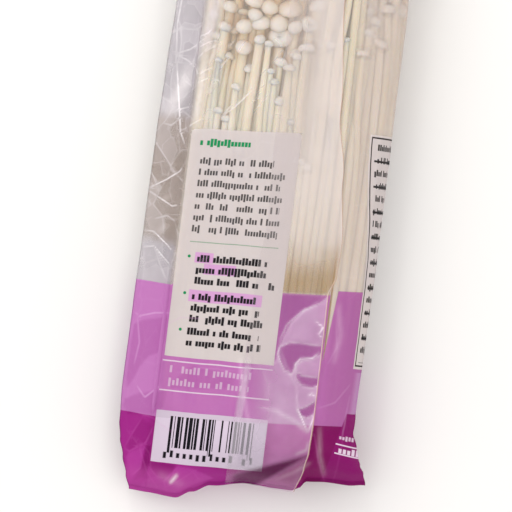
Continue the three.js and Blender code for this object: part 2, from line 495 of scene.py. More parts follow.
# Fine shapes for the caps in sight, then the same in fewer faces for the rest
def capShapes():
    kept = bpy.data.collections.new("capShapes")
    outlines = list(capOutlines.values())
    for kind, outline in enumerate(outlines + [o[:-1:2] + o[-1:] for o in outlines]):
        around, rings = 20 if kind < len(outlines) else 10, len(outline) - 2
        points = [(0, 0, outline[0][1])]
        for reach, height in outline[1:-1]:
            for angle in (2 * math.pi * corner / around for corner in range(around)):
                uneven = 1 + 0.05 * math.cos(2 * angle + kind) + 0.035 * math.cos(3 * angle + 2 * kind)
                raised = height + 0.04 * math.cos(angle + kind)
                points.append((reach * uneven * math.cos(angle), reach * uneven * math.sin(angle), raised))
        points.append((0, 0, outline[-1][1]))
        faces = [[1 + corner for corner in face] for face in turnedOver(quads(rings, around))]
        base, last = 1 + (rings - 1) * around, len(points) - 1
        for corner in range(around):
            after = (corner + 1) % around
            faces += [(0, 1 + corner, 1 + after), (base + corner, last, base + after)]
        shape = meshObject("cap" + str(kind), points, faces)
        bpy.context.scene.collection.objects.unlink(shape)
        kept.objects.link(shape)
    return kept


# One tree for all tufts: a tube along every stem and a cap shape on each stem's end
def stemTree(caps, stemFlesh, capFlesh):
    tree = bpy.data.node_groups.new("stemsAndCaps", "GeometryNodeTree")
    tree.interface.new_socket("Geometry", in_out="INPUT", socket_type="NodeSocketGeometry")
    sides = tree.interface.new_socket("Sides", in_out="INPUT", socket_type="NodeSocketInt")
    shapes = tree.interface.new_socket("Cap Shapes", in_out="INPUT", socket_type="NodeSocketCollection")
    tree.interface.new_socket("Geometry", in_out="OUTPUT", socket_type="NodeSocketGeometry")

    def add(kind, settings=None, **sockets):
        made = tree.nodes.new(kind)
        for key, value in (settings or {}).items():
            setattr(made, key, value)
        for key, value in sockets.items():
            socket = made.inputs[key.replace("_", " ")]
            if isinstance(value, bpy.types.NodeSocket):
                tree.links.new(value, socket)
            else:
                socket.default_value = value
        return made.outputs

    def named(name, kind="FLOAT"):
        return add("GeometryNodeInputNamedAttribute", {"data_type": kind}, Name=name)[0]

    given = add("NodeGroupInput")
    path = add("GeometryNodeMeshToCurve", Mesh=given["Geometry"])["Curve"]
    circle = add("GeometryNodeCurvePrimitiveCircle", {"mode": "RADIUS"}, Resolution=given["Sides"],
                 Radius=1.0)
    tube = add("GeometryNodeCurveToMesh", Curve=path, Profile_Curve=circle["Curve"], Scale=named("thickness"),
               Fill_Caps=True)["Mesh"]
    tube = add("GeometryNodeSetMaterial", Geometry=tube, Material=stemFlesh)[0]
    ends = add("GeometryNodeMeshToPoints", Mesh=given["Geometry"],
               Selection=named("hasCap", "BOOLEAN"))["Points"]
    picked = add("GeometryNodeCollectionInfo", Collection=given["Cap Shapes"], Separate_Children=True,
                 Reset_Children=True)[0]
    turned = add("FunctionNodeEulerToRotation", Euler=named("capTurn", "FLOAT_VECTOR"))[0]
    capped = add("GeometryNodeInstanceOnPoints", Points=ends, Instance=picked, Pick_Instance=True,
                 Instance_Index=named("capKind", "INT"), Rotation=turned,
                 Scale=named("capSize", "FLOAT_VECTOR"))[0]
    capped = add("GeometryNodeRealizeInstances", Geometry=capped)[0]
    capped = add("GeometryNodeSetMaterial", Geometry=capped, Material=capFlesh)[0]
    both = tree.nodes.new("GeometryNodeJoinGeometry")
    for socket in (tube, capped):
        tree.links.new(socket, both.inputs[0])
    smooth = add("GeometryNodeSetShadeSmooth", Geometry=both.outputs[0])[0]
    add("NodeGroupOutput", Geometry=smooth)
    return tree, {sides.identifier: bunch["tubeSides"], shapes.identifier: caps}


# What the tree makes of the paths, as a plain mesh
def bakeModifier(name, source, tree, inputs):
    grown = source.modifiers.new("grown", "NODES")
    grown.node_group = tree
    for identifier, value in inputs.items():
        grown[identifier] = value
    evaluated = source.evaluated_get(bpy.context.evaluated_depsgraph_get())
    mesh = bpy.data.meshes.new_from_object(evaluated)
    mesh.name = name
    source.modifiers.remove(grown)
    bpy.data.objects.remove(source)
    return linked(name, mesh)


# Colours and grain of stems and caps, and where the gaps between them are darker: painted shade in tan and
# brown
flesh = {
    "ivory": "e3d9cc",
    "green": "d6ccae",
    "tan": "dcb680",
    "brown": "c88a4c",
    "capWhite": "dcd6d2",
    "grain": 900.0,
    "glow": 0.7,
    "glowDepth": 0.004,
    "stemGlow": (1.0, 0.62, 0.32),
    "capGlow": (1.0, 0.66, 0.4),
    "gapDepth": 0.45,
    "darkUpFrom": (148, 166),
    "paleUpFrom": (184, 196),
    "paleRightOf": (2, 12),
}


# How deep in the bunch a point lies and how far its face turns from the film: where shade is painted into the
# gaps and onto faces turned away
def storeShade(mesh):
    at = pointsOf(mesh) / mm - np.array([shiftX, shiftY, 0])
    across = (at[:, 0] - bunch["centre"][0]) / bunch["reach"][0]
    up = (at[:, 2] - bunch["centre"][1]) / bunch["reach"][1]
    level = np.sqrt(across ** 4 + up ** 4) ** 0.5
    out = np.stack([across ** 3 / bunch["reach"][0], 0 * up, up ** 3 / bunch["reach"][1]], 1)
    out /= np.linalg.norm(out, axis=1, keepdims=True) + 1e-9
    turned = 0.5 - 0.5 * (out * normalsOf(mesh)).sum(1)
    darker = 1 + 0.7 * ease(at[:, 1], *flesh["darkUpFrom"]) - 1.5 * ease(at[:, 1], *flesh["paleUpFrom"])
    darker *= 1 - 0.75 * ease(at[:, 0], *flesh["paleRightOf"])
    deep = np.clip((1.0 - level) / flesh["gapDepth"], 0, 1) * darker
    storeOnPoints(mesh, "deep", np.clip(0.75 * deep + 0.55 * turned * (0.35 + 0.65 * deep), 0, 1))
    storeOnPoints(mesh, "turned", turned)


# Each mushroom goes with the nearest tuft, and every tuft gets at least one
def shareOut(at, names):
    centres = []
    for name in names:
        low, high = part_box(name)
        centres.append(((low.x + high.x) / 2 / mm - shiftX, (low.z + high.z) / 2 / mm))
    centres = np.array(centres)
    far = ((at[bunch["shareStation"]][:, None] - centres[None]) ** 2).sum(-1)
    owner = far.argmin(1)
    for number in range(len(names)):
        if not (owner == number).any():
            spare = [i for i in far[:, number].argsort() if (owner == owner[i]).sum() > 1]
            owner[spare[0]] = number
    return owner


# A cap sits square on its stem's end, but tips a little, outwards most, and the front ones face the film
def capTurn(rng, x, heights, z, facing):
    lean = Vector((x[-1] - x[-3], heights[-1] - heights[-3], z[-1] - z[-3])).normalized()
    outward = max(0, z[-1] - bunch["centre"][1]) / bunch["reach"][1]
    lean += Vector((rng.normal(0, 0.2), 0, rng.normal(0.05, 0.15) + 0.4 * outward * rng.uniform(0, 1)))
    lean += Vector((0, 0, facing))
    spin = Euler((0, 0, rng.uniform(0, 6.28))).to_matrix()
    return (lean.to_track_quat("Z", "Y").to_matrix() @ spin).to_euler()


# What the tree reads on each point of a path
pathMarks = {
    "thickness": "FLOAT",
    "hasCap": "BOOLEAN",
    "capTurn": "FLOAT_VECTOR",
    "capSize": "FLOAT_VECTOR",
    "capKind": "INT",
    "tone": "FLOAT",
    "along": "FLOAT",
}


def growMushrooms(stemFlesh, capFlesh):
    at, radius, cap, top, kind, rng = growBunch()
    names = sorted(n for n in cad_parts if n.startswith("tuft_"))
    owner = shareOut(at, names)
    tree, inputs = stemTree(capShapes(), stemFlesh, capFlesh)
    made = []
    for number, name in enumerate(names):
        points, edges = [], []
        held = {key: [] for key in pathMarks}
        for stem in np.flatnonzero(owner == number):
            end = top[stem] - cap[stem] * 0.2
            count = int((end - bunch["base"]) / bunch["pathStep"]) + 2
            heights = np.linspace(bunch["base"], end, count)
            x, z = easedTrack(at[:, stem], heights)
            share = (heights - bunch["base"]) / (end - bunch["base"])
            thick = radius[stem] * (1 + 0.12 * (1 - ease(share, 0, 0.2)) - 0.16 * ease(share, 0.86, 1.0))
            thick = thick * (1 + 0.05 * np.sin(heights / rng.uniform(9, 15) + rng.uniform(0, 6)))
            first = len(points)
            points += [tuple(p) for p in place(np.stack([x, heights, z], 1))]
            edges += [(first + i, first + i + 1) for i in range(count - 1)]
            facing = 0.0
            if stem >= bunch["stems"]:
                facing = (1.5 if kind[stem] == 2 else 0.1) * min(1.0, cap[stem] / 3.2)
            turn = capTurn(rng, x, heights, z, facing)
            broad = cap[stem] * mm * rng.uniform(0.92, 1.08, 3) * (1.06, 0.98, 0.82)
            held["thickness"] += list(thick * mm)
            held["hasCap"] += [False] * (count - 1) + [True]
            held["capTurn"] += [tuple(turn)] * count
            held["capSize"] += [tuple(broad)] * count
            held["capKind"] += [int(kind[stem])] * count
            held["tone"] += [rng.uniform(0, 1)] * count
            held["along"] += list(share)
        source = meshObject(name + "Paths", points, [], False, edges)
        for key, values in held.items():
            storeOnPoints(source.data, key, values, pathMarks[key])
        piece = bakeModifier(name.replace("tuft_", "mushrooms"), source, tree, inputs)
        storeShade(piece.data)
        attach(piece, "root")
        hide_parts(name)
        made.append(piece)
    print("mushrooms:", len(top), "in", len(made), "tufts")
    return made


# Flesh glows a little way in
def fleshSkin(g, color, roughness, glow, bump):
    return g.principled(Base_Color=color, Roughness=roughness, Subsurface_Weight=flesh["glow"],
                        Subsurface_Scale=flesh["glowDepth"], Subsurface_Radius=glow, Normal=bump)


def stemFleshMaterial():
    g = Graph("stemFlesh")
    spot = g.spot()
    stretched = g.node("ShaderNodeMapping", {}, {"Vector": spot, "Scale": (1.0, 0.04, 1.0)})
    fibre = g.noise(stretched, flesh["grain"], 3.0)
    patch = g.noise(spot, 60.0, 2.0)
    tone = g.attribute("tone")
    deep = g.attribute("deep")
    along = g.attribute("along")
    green = tone * 0.5 + g.step(patch, 0.42, 0.68) * 0.35 + (1 - g.step(along, 0.0, 0.4)) * 0.2
    color = g.paint(green.atMost(1.0), hexColor(flesh["ivory"]), flesh["green"])
    # Painted shade: tan, then brown, where a stem lies deep in the bunch or turns away from the film
    color = g.paint(g.step(deep, 0.3, 0.9) * 0.65, color, flesh["tan"])
    color = g.paint(g.step(deep, 0.75, 1.0) * 0.35, color, flesh["brown"])
    color = g.paint(g.step(fibre, 0.52, 0.75) * 0.18, color, flesh["tan"])
    return g.finish(fleshSkin(g, color, 0.42, flesh["stemGlow"], g.bump(fibre, 0.25, 0.0002)))


def capFleshMaterial():
    g = Graph("capFlesh")
    patch = g.noise(g.spot(), 170.0, 3.0)
    deep = g.attribute("deep")
    # Painted shade: tan on caps deep in the bunch and on their sides turned away from the film
    paintedCapShade = (g.step(deep, 0.4, 1.0) * 0.45).atLeast(g.step(g.attribute("turned"), 0.5, 0.85) * 0.25)
    color = g.paint(paintedCapShade, hexColor(flesh["capWhite"]), flesh["tan"])
    color = g.paint(g.step(patch, 0.5, 0.8) * 0.22, color, flesh["green"])
    return g.finish(fleshSkin(g, color, 0.3, flesh["capGlow"], g.bump(patch, 0.2, 0.0003)))


# The root end: a ridged block of pressed stems and threads
root = {
    "halfWidth": 34.4,
    "halfHeight": 17.8,
    "middle": 20.5,
    "bottom": 11.0,
    "top": 26.6,
    "ridges": 74,
    "around": 296,
    "rings": 16,
    "straw": "b18d55",
    "cream": "dccba0",
    "bark": "8a6433",
}


def rootThreadsMaterial():
    g = Graph("rootThreads")
    spot = g.spot()
    stretched = g.node("ShaderNodeMapping", {}, {"Vector": spot, "Scale": (1.0, 0.15, 1.0)})
    threads = g.noise(stretched, 700.0, 4.0)
    clumps = g.noise(spot, 130.0, 3.0)
    color = g.paint(g.step(clumps, 0.35, 0.7), hexColor(root["straw"]), root["cream"])
    color = g.paint(g.step(threads, 0.5, 0.7) * 0.5, color, root["bark"])
    bump = g.bump(threads + clumps, 0.6, 0.0006)
    return g.finish(g.principled(Base_Color=color, Roughness=0.8, Normal=bump))


def makeRoot():
    rng = np.random.default_rng(5)
    around, rings, middle = root["around"], root["rings"], root["middle"]
    angles = np.linspace(0, 2 * math.pi, around, endpoint=False)
    ridge = 0.5 + 0.5 * np.cos(angles * root["ridges"])
    waver = np.interp(angles, np.linspace(0, 2 * math.pi, 40), rng.uniform(-1, 1, 40))
    points = []
    for share in np.linspace(0, 1, rings):
        rounding = 0.5 + 0.5 * math.sin(min(1.0, share / 0.45) * math.pi / 2)
        reach = rounding * (1 - 0.045 * ridge * ease(share, 0.15, 0.7)) * (1 + 0.02 * waver)
        x = bunch["centre"][0] + root["halfWidth"] * reach * np.cos(angles)
        y = root["bottom"] + (root["top"] - root["bottom"]) * share + 0.5 * waver
        z = middle + root["halfHeight"] * reach * np.sin(angles)
        points += list(np.stack([x, y, z], 1))
    points += [(bunch["centre"][0], y, middle) for y in (root["bottom"] + 0.6, root["top"] - 0.8)]
    faces = turnedOver(quads(rings, around))
    upper = (rings - 1) * around
    for corner in range(around):
        after = (corner + 1) % around
        faces += [(rings * around, corner, after), (rings * around + 1, upper + after, upper + corner)]
    piece = meshObject("rootEnd", place(points), faces)
    piece.data.materials.append(rootThreadsMaterial())
    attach(piece, "root")
    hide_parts("root_base")
    print("root end:", len(points), "points")
    return piece


# How the film is laid over the bunch
film = {
    "around": 132,
    "step": 0.86,
    "wrapFrom": 35.0,
    "clingRadius": 13.0,
    "mostSag": 4.2,
    "standOff": 0.35,
    "skinGap": 0.2,
    "feelFrom": 5.0,
    "mostMirror": 0.12,
    "creaseRise": 0.4,
    "tableGap": 0.12,
    "bodyFrom": (-38.5, -35.5),
    "marginUntil": (-37.5, -33.0),
    "marginFrom": (-4, 6),
    "crispFrom": (22, 32),
    "crumpledFrom": (70, 90),
    "filledFrom": (20, 34),
    "filledUntil": (214, 228),
    "tautUntil": (-34, -26),
    "tautness": 0.75,
    "lowerEnd": (4, 14),
    "upperEnd": (212, 228),
    "sideFrom": (33, 38),
}
# Random fields on the film, each as its seed and its lengths
fields = {
    "swell": (3, 14, 34, 0.7),
    "fineSwell": (4, 6, 13),
    "bend": (22, 14, 30),
    "patches": (21, 9.0, 1.6),
    "smallPatches": (24, 5.5, 1.3),
    "longFolds": (23, 9, 16, 0.2, 4.0),
    "flapSwell": (41, 9, 18),
    "flapFolds": (43, 12, 22, 0.2, 2.0),
}

# Creases that show most, each as its route, its half width and its height
creases = (
    (((-44.5, 158.2), (-40.3, 134.6), (-39.9, 131.6), (-36.2, 124.4)), 0.8, 1.2),
    (((-45.0, 190), (-46.0, 172), (-44.6, 156.2)), 0.7, 0.9),
    (((-45.4, 160.7), (-39.8, 163), (-33.5, 168.5)), 1.0, 0.9),
    (((-45.4, 160.7), (-40, 158.6), (-36.2, 155.4), (-34.0, 149.5)), 0.8, 0.9),
    (((-38.5, 156.5), (-33.0, 164.5), (-30.5, 166)), 0.7, 0.7),
    (((-40.5, 151.0), (-37.2, 148.9), (-34.6, 149.6)), 0.8, 0.6),
    (((-43.5, 138.5), (-39.8, 140.4), (-36.0, 141.6)), 0.9, 0.8),
    (((-46.8, 134.0), (-43.5, 133.5), (-40.0, 137.0)), 0.9, 0.7),
    (((-40.2, 131.5), (-36.5, 133.8), (-31.5, 137.5)), 0.8, 0.8),
    (((-49.3, 108.8), (-43, 112.7), (-38.1, 116.5), (-35.9, 121.2)), 0.8, 1.1),
    (((-48.9, 107.7), (-39.5, 103), (-34.9, 104.3)), 0.9, 1.0),
    (((-45.4, 97.5), (-40.9, 99.2), (-37.7, 97.4), (-35.5, 91.5)), 0.8, 0.8),
    (((-49.2, 92.7), (-45.2, 92.5), (-39.5, 88.1), (-35.3, 84.1)), 0.8, 1.1),
    (((-48.8, 86.2), (-44.5, 87.1), (-39.6, 82.5), (-35.5, 79)), 0.8, 1.0),
    (((-44.5, 87.1), (-41.5, 80.6), (-37.5, 73.5)), 0.7, 0.6),
    (((-48.6, 60.9), (-46.4, 60.1), (-41, 61.9), (-35.6, 62.5)), 0.8, 0.9),
    (((-47.5, 59.5), (-45.6, 50), (-46.6, 41.5)), 0.9, 0.6),
    (((-44.5, 33.5), (-41.0, 29.5), (-35.8, 34.5)), 0.9, 0.8),
    (((-43.0, 23.5), (-36.5, 22.0), (-28.0, 17.5)), 0.9, 0.5),
    (((-42.0, 14.0), (-36.5, 8.5), (-35.0, 2.5)), 0.8, 0.4),
    (((-46.5, 16.5), (-41.0, 11.0), (-37.0, 2.0), (-32, -4)), 0.8, 0.5),
    (((-30.0, -4.5), (-22.0, 1.5), (-17.5, 5.5)), 0.8, 0.5),
    (((-14.6, 152), (-15.5, 149), (-20.7, 142.7), (-25, 139), (-26.3, 136.6)), 0.6, 1.1),
    (((-3.9, 170.0), (-7.0, 163.0), (-12.5, 155.5), (-19.5, 151)), 0.6, 0.6),
    (((-10.5, 166), (-9.5, 157.5), (-12.0, 150.5), (-16.5, 147.3)), 0.5, 0.4),
    (((-7.0, 158.5), (-13.0, 148.0), (-14.0, 141.0)), 0.6, 0.55),
    (((-29.7, 167.6), (-31.0, 163.7)), 0.6, 0.8),
    (((-23.9, 168.6), (-26.1, 165.1)), 0.6, 0.8),
    (((-25.3, 162.2), (-27.7, 157.6), (-28.5, 155.3)), 0.6, 0.85),
    (((-18.9, 169.6), (-20.7, 166.5), (-21.8, 163.4)), 0.6, 0.7),
    (((-10.8, 171.7), (-6.9, 169.6), (-4.1, 165.2), (-4.7, 161.1)), 0.5, 0.85),
    (((-26.3, 137.3), (-23.9, 141.2), (-21.4, 142.2)), 0.6, 0.7),
    (((-29.8, 153.7), (-30.2, 151.0), (-26.5, 151.1)), 0.6, 0.7),
    (((-35.8, 149.3), (-35.3, 153.7), (-31.2, 159.3)), 0.7, 0.6),
    (((-16.4, 137.0), (-15.5, 141.5)), 0.6, 0.6),
    (((-46.1, 9.2), (-44.5, 8.3), (-38.5, 12.4), (-36.3, 18.9)), 0.6, 0.9),
    (((-42.0, -0.5), (-39.4, 2.6), (-39.2, 6.4)), 0.5, 0.7),
    (((-41.0, 21.6), (-43.7, 16.1), (-46.2, 10.0)), 0.5, 0.5),
    (((-19.5, 4.1), (-16.2, 0.9)), 0.5, 0.6),
    (((-24.8, 5.3), (-29.8, -1.2), (-28.2, -5.7)), 0.5, 0.7),
    (((-36.3, 3.9), (-33.0, 0.6), (-30.0, -0.1)), 0.5, 0.6),
    (((-37.7, 167.5), (-33.7, 169.6), (-32.3, 171.6)), 0.6, 0.9),
    (((-37.7, 163.2), (-32.7, 166.5), (-29.1, 167.5)), 0.6, 0.8),
    (((-34.9, 161.9), (-31.4, 164.5), (-29.6, 166.9)), 0.5, 0.8),
    (((-35.9, 152.9), (-32.5, 155.8), (-29.5, 157.2)), 0.6, 0.9),
    (((-36.1, 150.0), (-31.6, 152.7), (-29.7, 152.9)), 0.6, 0.8),
    (((-30.4, 151.7), (-28.9, 152.5), (-26.6, 151.7)), 0.5, 0.8),
    (((-15.1, 145.0), (-11.7, 147.6), (-10.9, 150.4)), 0.5, 0.8),
    (((-26.5, 137.2), (-24.6, 139.0), (-22.8, 142.5), (-20.8, 143.8)), 0.5, 1.0),
    (((-7.6, 140.6), (-3.5, 142.2), (1.6, 140.1)), 0.5, 0.6),
    (((-14.4, 139.2), (-11.3, 144.4), (-7.7, 150.2)), 0.5, 0.7),
    (((6.8, 32.2), (12, 30.6), (17.5, 28.3)), 0.7, 0.5),
    (((37.1, 40.1), (36.0, 28), (35.2, 18.8), (34.1, 5.3)), 0.7, 0.45),
    (((-35.9, 58), (-31, 61.5), (-23, 62)), 0.9, 0.35),
    (((-30.5, 40.5), (-22, 43.5), (-8, 44.0)), 1.0, 0.25),
    (((-4.5, 55), (-3.5, 34), (-4.2, 12)), 0.8, 0.35),
    (((26.5, 50.5), (29.5, 57.5), (28.0, 66.0)), 1.0, 0.35),
    (((25.5, 33.8), (31.5, 36.5), (36.5, 44)), 1.0, 0.4),
    (((24.5, 24), (27.2, 14), (31.0, 5.5)), 0.9, 0.8),
)
# Soft stretches of painted reflection, whiter, in the same way
paintedReflections = (
    (((-34.3, 132.5), (-34.2, 142), (-33.8, 152), (-34.2, 161)), 1.5, 0.85),
    (((-34.6, 158), (-34.0, 168), (-32.8, 178), (-32.2, 192)), 2.8, 1.0),
    (((-37.0, 154.5), (-32.0, 159.5), (-28.5, 166.5)), 1.0, 0.5),
    (((-31.5, 146.5), (-28.5, 151.5)), 1.2, 0.35),
    (((-31.0, 136.5), (-29.0, 141.0)), 1.4, 0.3),
    (((-45.5, 137.0), (-42.3, 145.1), (-40.0, 153.0), (-38.0, 160.0)), 3.2, 0.7),
    (((-45.0, 104.0), (-40.0, 107.5)), 1.8, 0.3),
    (((-44.0, 92.5), (-39.5, 96.0)), 1.5, 0.3),
    (((-6.8, 49.0), (-3.8, 36.0), (-0.5, 24.0)), 0.9, 0.3),
    (((-32.5, 1.5), (-25.5, -1.0), (-22.0, -1.5)), 1.6, 0.1),
    (((-27.5, -1.8), (-25.0, 2.2)), 0.7, 0.9),
    (((26.2, 27.0), (27.6, 16.0), (30.5, 8.0)), 0.9, 0.2),
    (((12.0, 4.6), (19.0, 8.5), (24.5, 13.0)), 0.9, 0.2),
    (((27.8, 74.0), (29.8, 62.0), (28.6, 50.5)), 1.2, 0.22),
)

# Outlines of the places where the printed film looks darker, or paler where the share is below nothing
filmTouches = (
    (((-48.6, 56.5), (-45.6, 58.5), (-35.9, 61.0), (-36.0, 53.7), (-36.6, 49.6), (-38.3, 46.8), (-41.4, 45.3),
      (-44.5, 40.6), (-45.8, 36.7), (-48.2, 32.0), (-48.9, 36.4), (-48.8, 42.9), (-48.8, 50.3)), 0.5),
    (((-33.0, 36.3), (-29.9, 38.0), (-24.4, 43.7), (-17.0, 43.2), (-8.0, 41.4), (-7.5, 37.4), (-16.1, 36.0),
      (-31.3, 34.5)), 0.5),
    (((-48.4, 28.0), (-43.3, 30.8), (-36.9, 32.3), (-33.0, 33.2), (-33.3, 26.9), (-37.6, 23.5), (-46.6, 22.4),
      (-49.1, 25.0)), 0.5),
    (((-36.2, 11.9), (-35.5, 5.8), (-26.0, 6.0), (-27.0, 2.8), (-30.0, 0.1), (-33.0, 0.8), (-36.3, 3.9),
      (-37.9, -0.7), (-41.6, -2.6), (-39.4, 2.4), (-38.3, 11.3)), 0.9),
    (((-41.2, 21.4), (-36.2, 19.1), (-38.5, 12.6), (-44.4, 8.7), (-46.0, 10.0)), 0.4),
    (((-44.5, 8.0), (-38.4, 11.2), (-39.5, 2.4), (-42.5, -1.5), (-45.3, 5.7)), -0.5),
    (((-37.5, -1.8), (-33.0, 0.4), (-29.9, -0.7), (-25.3, 5.2), (-19.7, 5.2), (-11.2, 2.2), (-17.8, -0.8),
      (-26.4, -5.7), (-30.0, -6.0), (-38.8, -5.4)), -0.6),
)


# A smooth random field of the given wavelengths, made of plane waves
def waves(x, y, seed, shortest, longest, stretch=1.0, count=14):
    rng = np.random.default_rng(seed)
    total = np.zeros_like(x)
    for wave in range(count):
        length = rng.uniform(shortest, longest)
        angle = rng.uniform(0, math.pi)
        across, along = math.cos(angle), math.sin(angle) / stretch
        total += np.cos(2 * math.pi * (across * x + along * y) / length + rng.uniform(0, 2 * math.pi))
    return total * math.sqrt(2 / count)


# Lines where such a field passes through nothing: long thin folds that wander and fade
def folds(x, y, seed, shortest, longest, sharp, stretch):
    lines = np.exp(-(waves(x, y, seed, shortest, longest, stretch) / sharp) ** 2)
    return lines * np.clip(0.5 + waves(x, y, seed + 50, shortest, longest), 0, 1)


# Straight-edged patches round scattered points: nothing on their borders, above it in some of them and
# below it in the others
def shards(x, y, seed, spacing, stretch):
    rng = np.random.default_rng(seed)
    spots, sides = rng.uniform(0.05, 0.95, (48, 48, 2)), rng.choice([-1, 1], (48, 48))
    across, along = x / spacing + 24, y / spacing / stretch + 8
    column, row = np.floor(across).astype(int), np.floor(along).astype(int)
    away, side = [], []
    for i in (-1, 0, 1):
        for j in (-1, 0, 1):
            spot = spots[(column + i) % 48, (row + j) % 48]
            away.append(np.hypot(across - column - i - spot[..., 0], along - row - j - spot[..., 1]))
            side.append(sides[(column + i) % 48, (row + j) % 48])
    order = np.argsort(away, 0)[:2]
    near, second = np.take_along_axis(np.array(away), order, 0)
    return (second - near) * np.take_along_axis(np.array(side), order[:1], 0)[0]


# How far the drawn creases raise each point, how strong the nearest one is there and how far aside it lies
def strokes(x, y, drawn):
    raised, strength, aside = np.zeros_like(x), np.zeros_like(x), np.full_like(x, 9.0)
    for route, halfWidth, height in drawn:
        route = np.array(route)
        near = (x > route[:, 0].min() - 4) & (x < route[:, 0].max() + 4)
        near &= (y > route[:, 1].min() - 4) & (y < route[:, 1].max() + 4)
        px, py = x[near], y[near]
        lengths = np.linalg.norm(np.diff(route, axis=0), axis=1)
        whole, before = lengths.sum(), 0.0
        heldRaise, heldStrength, heldAside = raised[near], strength[near], aside[near]
        for (ax, ay), (bx, by), length in zip(route[:-1], route[1:], lengths):
            share = np.clip(((px - ax) * (bx - ax) + (py - ay) * (by - ay)) / length ** 2, 0, 1)
            away = np.hypot(px - ax - share * (bx - ax), py - ay - share * (by - ay))
            side = np.sign((bx - ax) * (py - ay) - (by - ay) * (px - ax))
            done = (before + share * length) / whole
            taper = height * (np.sqrt(np.clip(4 * done * (1 - done), 0, 1)) * 0.85 + 0.15)
            heldRaise = np.maximum(heldRaise, taper * np.exp(-(away / halfWidth) ** 2))
            closer = away < np.abs(heldAside)
            heldStrength = np.where(closer, taper * np.exp(-away ** 2), heldStrength)
            heldAside = np.where(closer, away * side, heldAside)
            before += length
        raised[near], strength[near], aside[near] = heldRaise, heldStrength, heldAside
    return raised, strength, aside


# How far inside an outline each point lies, negative outside it
def inside(x, y, outline):
    away = np.full_like(x, 1e6)
    crossed = np.zeros(x.shape, bool)
    for (ax, ay), (bx, by) in zip(outline, outline[1:] + outline[:1]):
        dx, dy = bx - ax, by - ay
        share = np.clip(((x - ax) * dx + (y - ay) * dy) / (dx ** 2 + dy ** 2), 0, 1)
        away = np.minimum(away, np.hypot(x - ax - share * dx, y - ay - share * dy))
        if dy:
            crossed ^= ((ay > y) != (by > y)) & (x < dx * (y - ay) / dy + ax)
    return np.where(crossed, away, -away)


# A row of points spread evenly along its length, with how far along it each one is
def evenly(points, count):
    lengths = np.concatenate([[0], np.cumsum(np.linalg.norm(np.diff(points[:, [0, 2]], axis=0), axis=1))])
    wanted = np.linspace(0, lengths[-1], count)
    return np.stack([np.interp(wanted, lengths, points[:, k]) for k in range(points.shape[1])], 1), wanted


# Heights of the rows of points, closer where the bag rises steeply
def filmHeights():
    fine = np.linspace(0, bag["length"], 4000)
    rise = upperPly(np.full_like(fine, 2.0), fine, 0)
    lengths = np.concatenate([[0], np.cumsum(np.hypot(np.diff(fine), np.diff(rise)))])
    return np.interp(np.linspace(0, lengths[-1], int(lengths[-1] / film["step"])), lengths, fine)


# The smooth bag as rows of points round it, with the distance round it from the right of the flap
def filmGrid():
    heights = filmHeights()
    count = film["around"]
    points, wrap = [], []
    for y in heights:
        left, right = through(y, leftEdge), through(y, rightEdge)
        body = right - bag["sideLip"]
        middle = (bag["bodyLeft"] + body) / 2
        half = (body - bag["bodyLeft"]) / 2
        xs = np.concatenate([np.linspace(left, bag["bodyLeft"], 24)[:-1],
                             middle - half * np.cos(np.linspace(0, math.pi, 160)), [right]])
        level = np.full_like(xs, y)
        over = np.stack([xs, alongBag(xs, level), upperPly(xs, level, bag["skin"])], 1)
        under = np.stack([xs, alongBag(xs, level), lowerPly(xs, level, bag["skin"])], 1)
        over, overLength = evenly(over, count)
        under, underLength = evenly(under, count)
        start = np.interp(film["wrapFrom"], over[:, 0], overLength)
        wrapOver = overLength - start
        wrapUnder = wrapOver[-1] + underLength[-1] - underLength
        points.append(np.concatenate([over, under[::-1][1:-1]]))
        wrap.append(np.concatenate([wrapOver, wrapUnder[::-1][1:-1]]))
    return heights, np.array(points), np.array(wrap)


# Everything in the bag as one tree of triangles, to feel for it from the film
def contentsTree(pieces):
    points, triangles, before = [], [], 0
    for piece in pieces:
        mesh = piece.data
        mesh.calc_loop_triangles()
        corners = np.empty(len(mesh.loop_triangles) * 3, np.int32)
        mesh.loop_triangles.foreach_get("vertices", corners)
        points.append(pointsOf(mesh))
        triangles.append(corners.reshape(-1, 3) + before)
        before += len(mesh.vertices)
    return BVHTree.FromPolygons(np.concatenate(points).tolist(), np.concatenate(triangles).tolist(),
                                all_triangles=True)


# How far inwards from the smooth bag the contents lie
def roomInside(points, normals, contents):
    start = place(points + normals * film["feelFrom"]).reshape(-1, 3)
    inward = -normals.reshape(-1, 3)
    reach = (film["feelFrom"] + film["mostSag"] + 1) * mm
    room = np.full(len(start), film["mostSag"])
    body = (points[..., 0] > -39.5).ravel()
    for k in np.flatnonzero(body):
        hit = contents.ray_cast(start[k], inward[k], reach)
        if hit[0]:
            room[k] = hit[3] / mm - film["feelFrom"]
    return np.minimum(room, film["mostSag"]).reshape(points.shape[:2])


# Film can't follow a narrow gap: this closes the room between the stems with a wide round touch
def clung(room, spacing, axis, radius, reach):
    steps = range(-reach, reach + 1)
    dip = [(k * spacing) ** 2 / (2 * radius) for k in steps]
    deepest = np.min([np.roll(room, k, axis) + d for k, d in zip(steps, dip)], 0)
    return np.max([np.roll(deepest, k, axis) - d for k, d in zip(steps, dip)], 0)


def blurred(values, axis, turns, cyclic=True):
    for turnNumber in range(turns):
        before, after = np.roll(values, 1, axis), np.roll(values, -1, axis)
        if not cyclic:
            before[0], after[-1] = values[0], values[-1]
        values = 0.5 * values + 0.25 * (before + after)
    return values


# Which way the film faces, in the section across the bag
def facesOut(points):
    ahead = np.roll(points, -1, 1) - np.roll(points, 1, 1)
    normals = np.stack([-ahead[..., 2], 0 * ahead[..., 0], ahead[..., 0]], -1)
    return normals / (np.linalg.norm(normals, axis=-1, keepdims=True) + 1e-9)


# The least value of each point and its neighbours
def leastNear(values):
    least = np.minimum(values, np.minimum(np.roll(values, 1, 1), np.roll(values, -1, 1)))
    return np.minimum(least, np.minimum(np.roll(least, 1, 0), np.roll(least, -1, 0)))


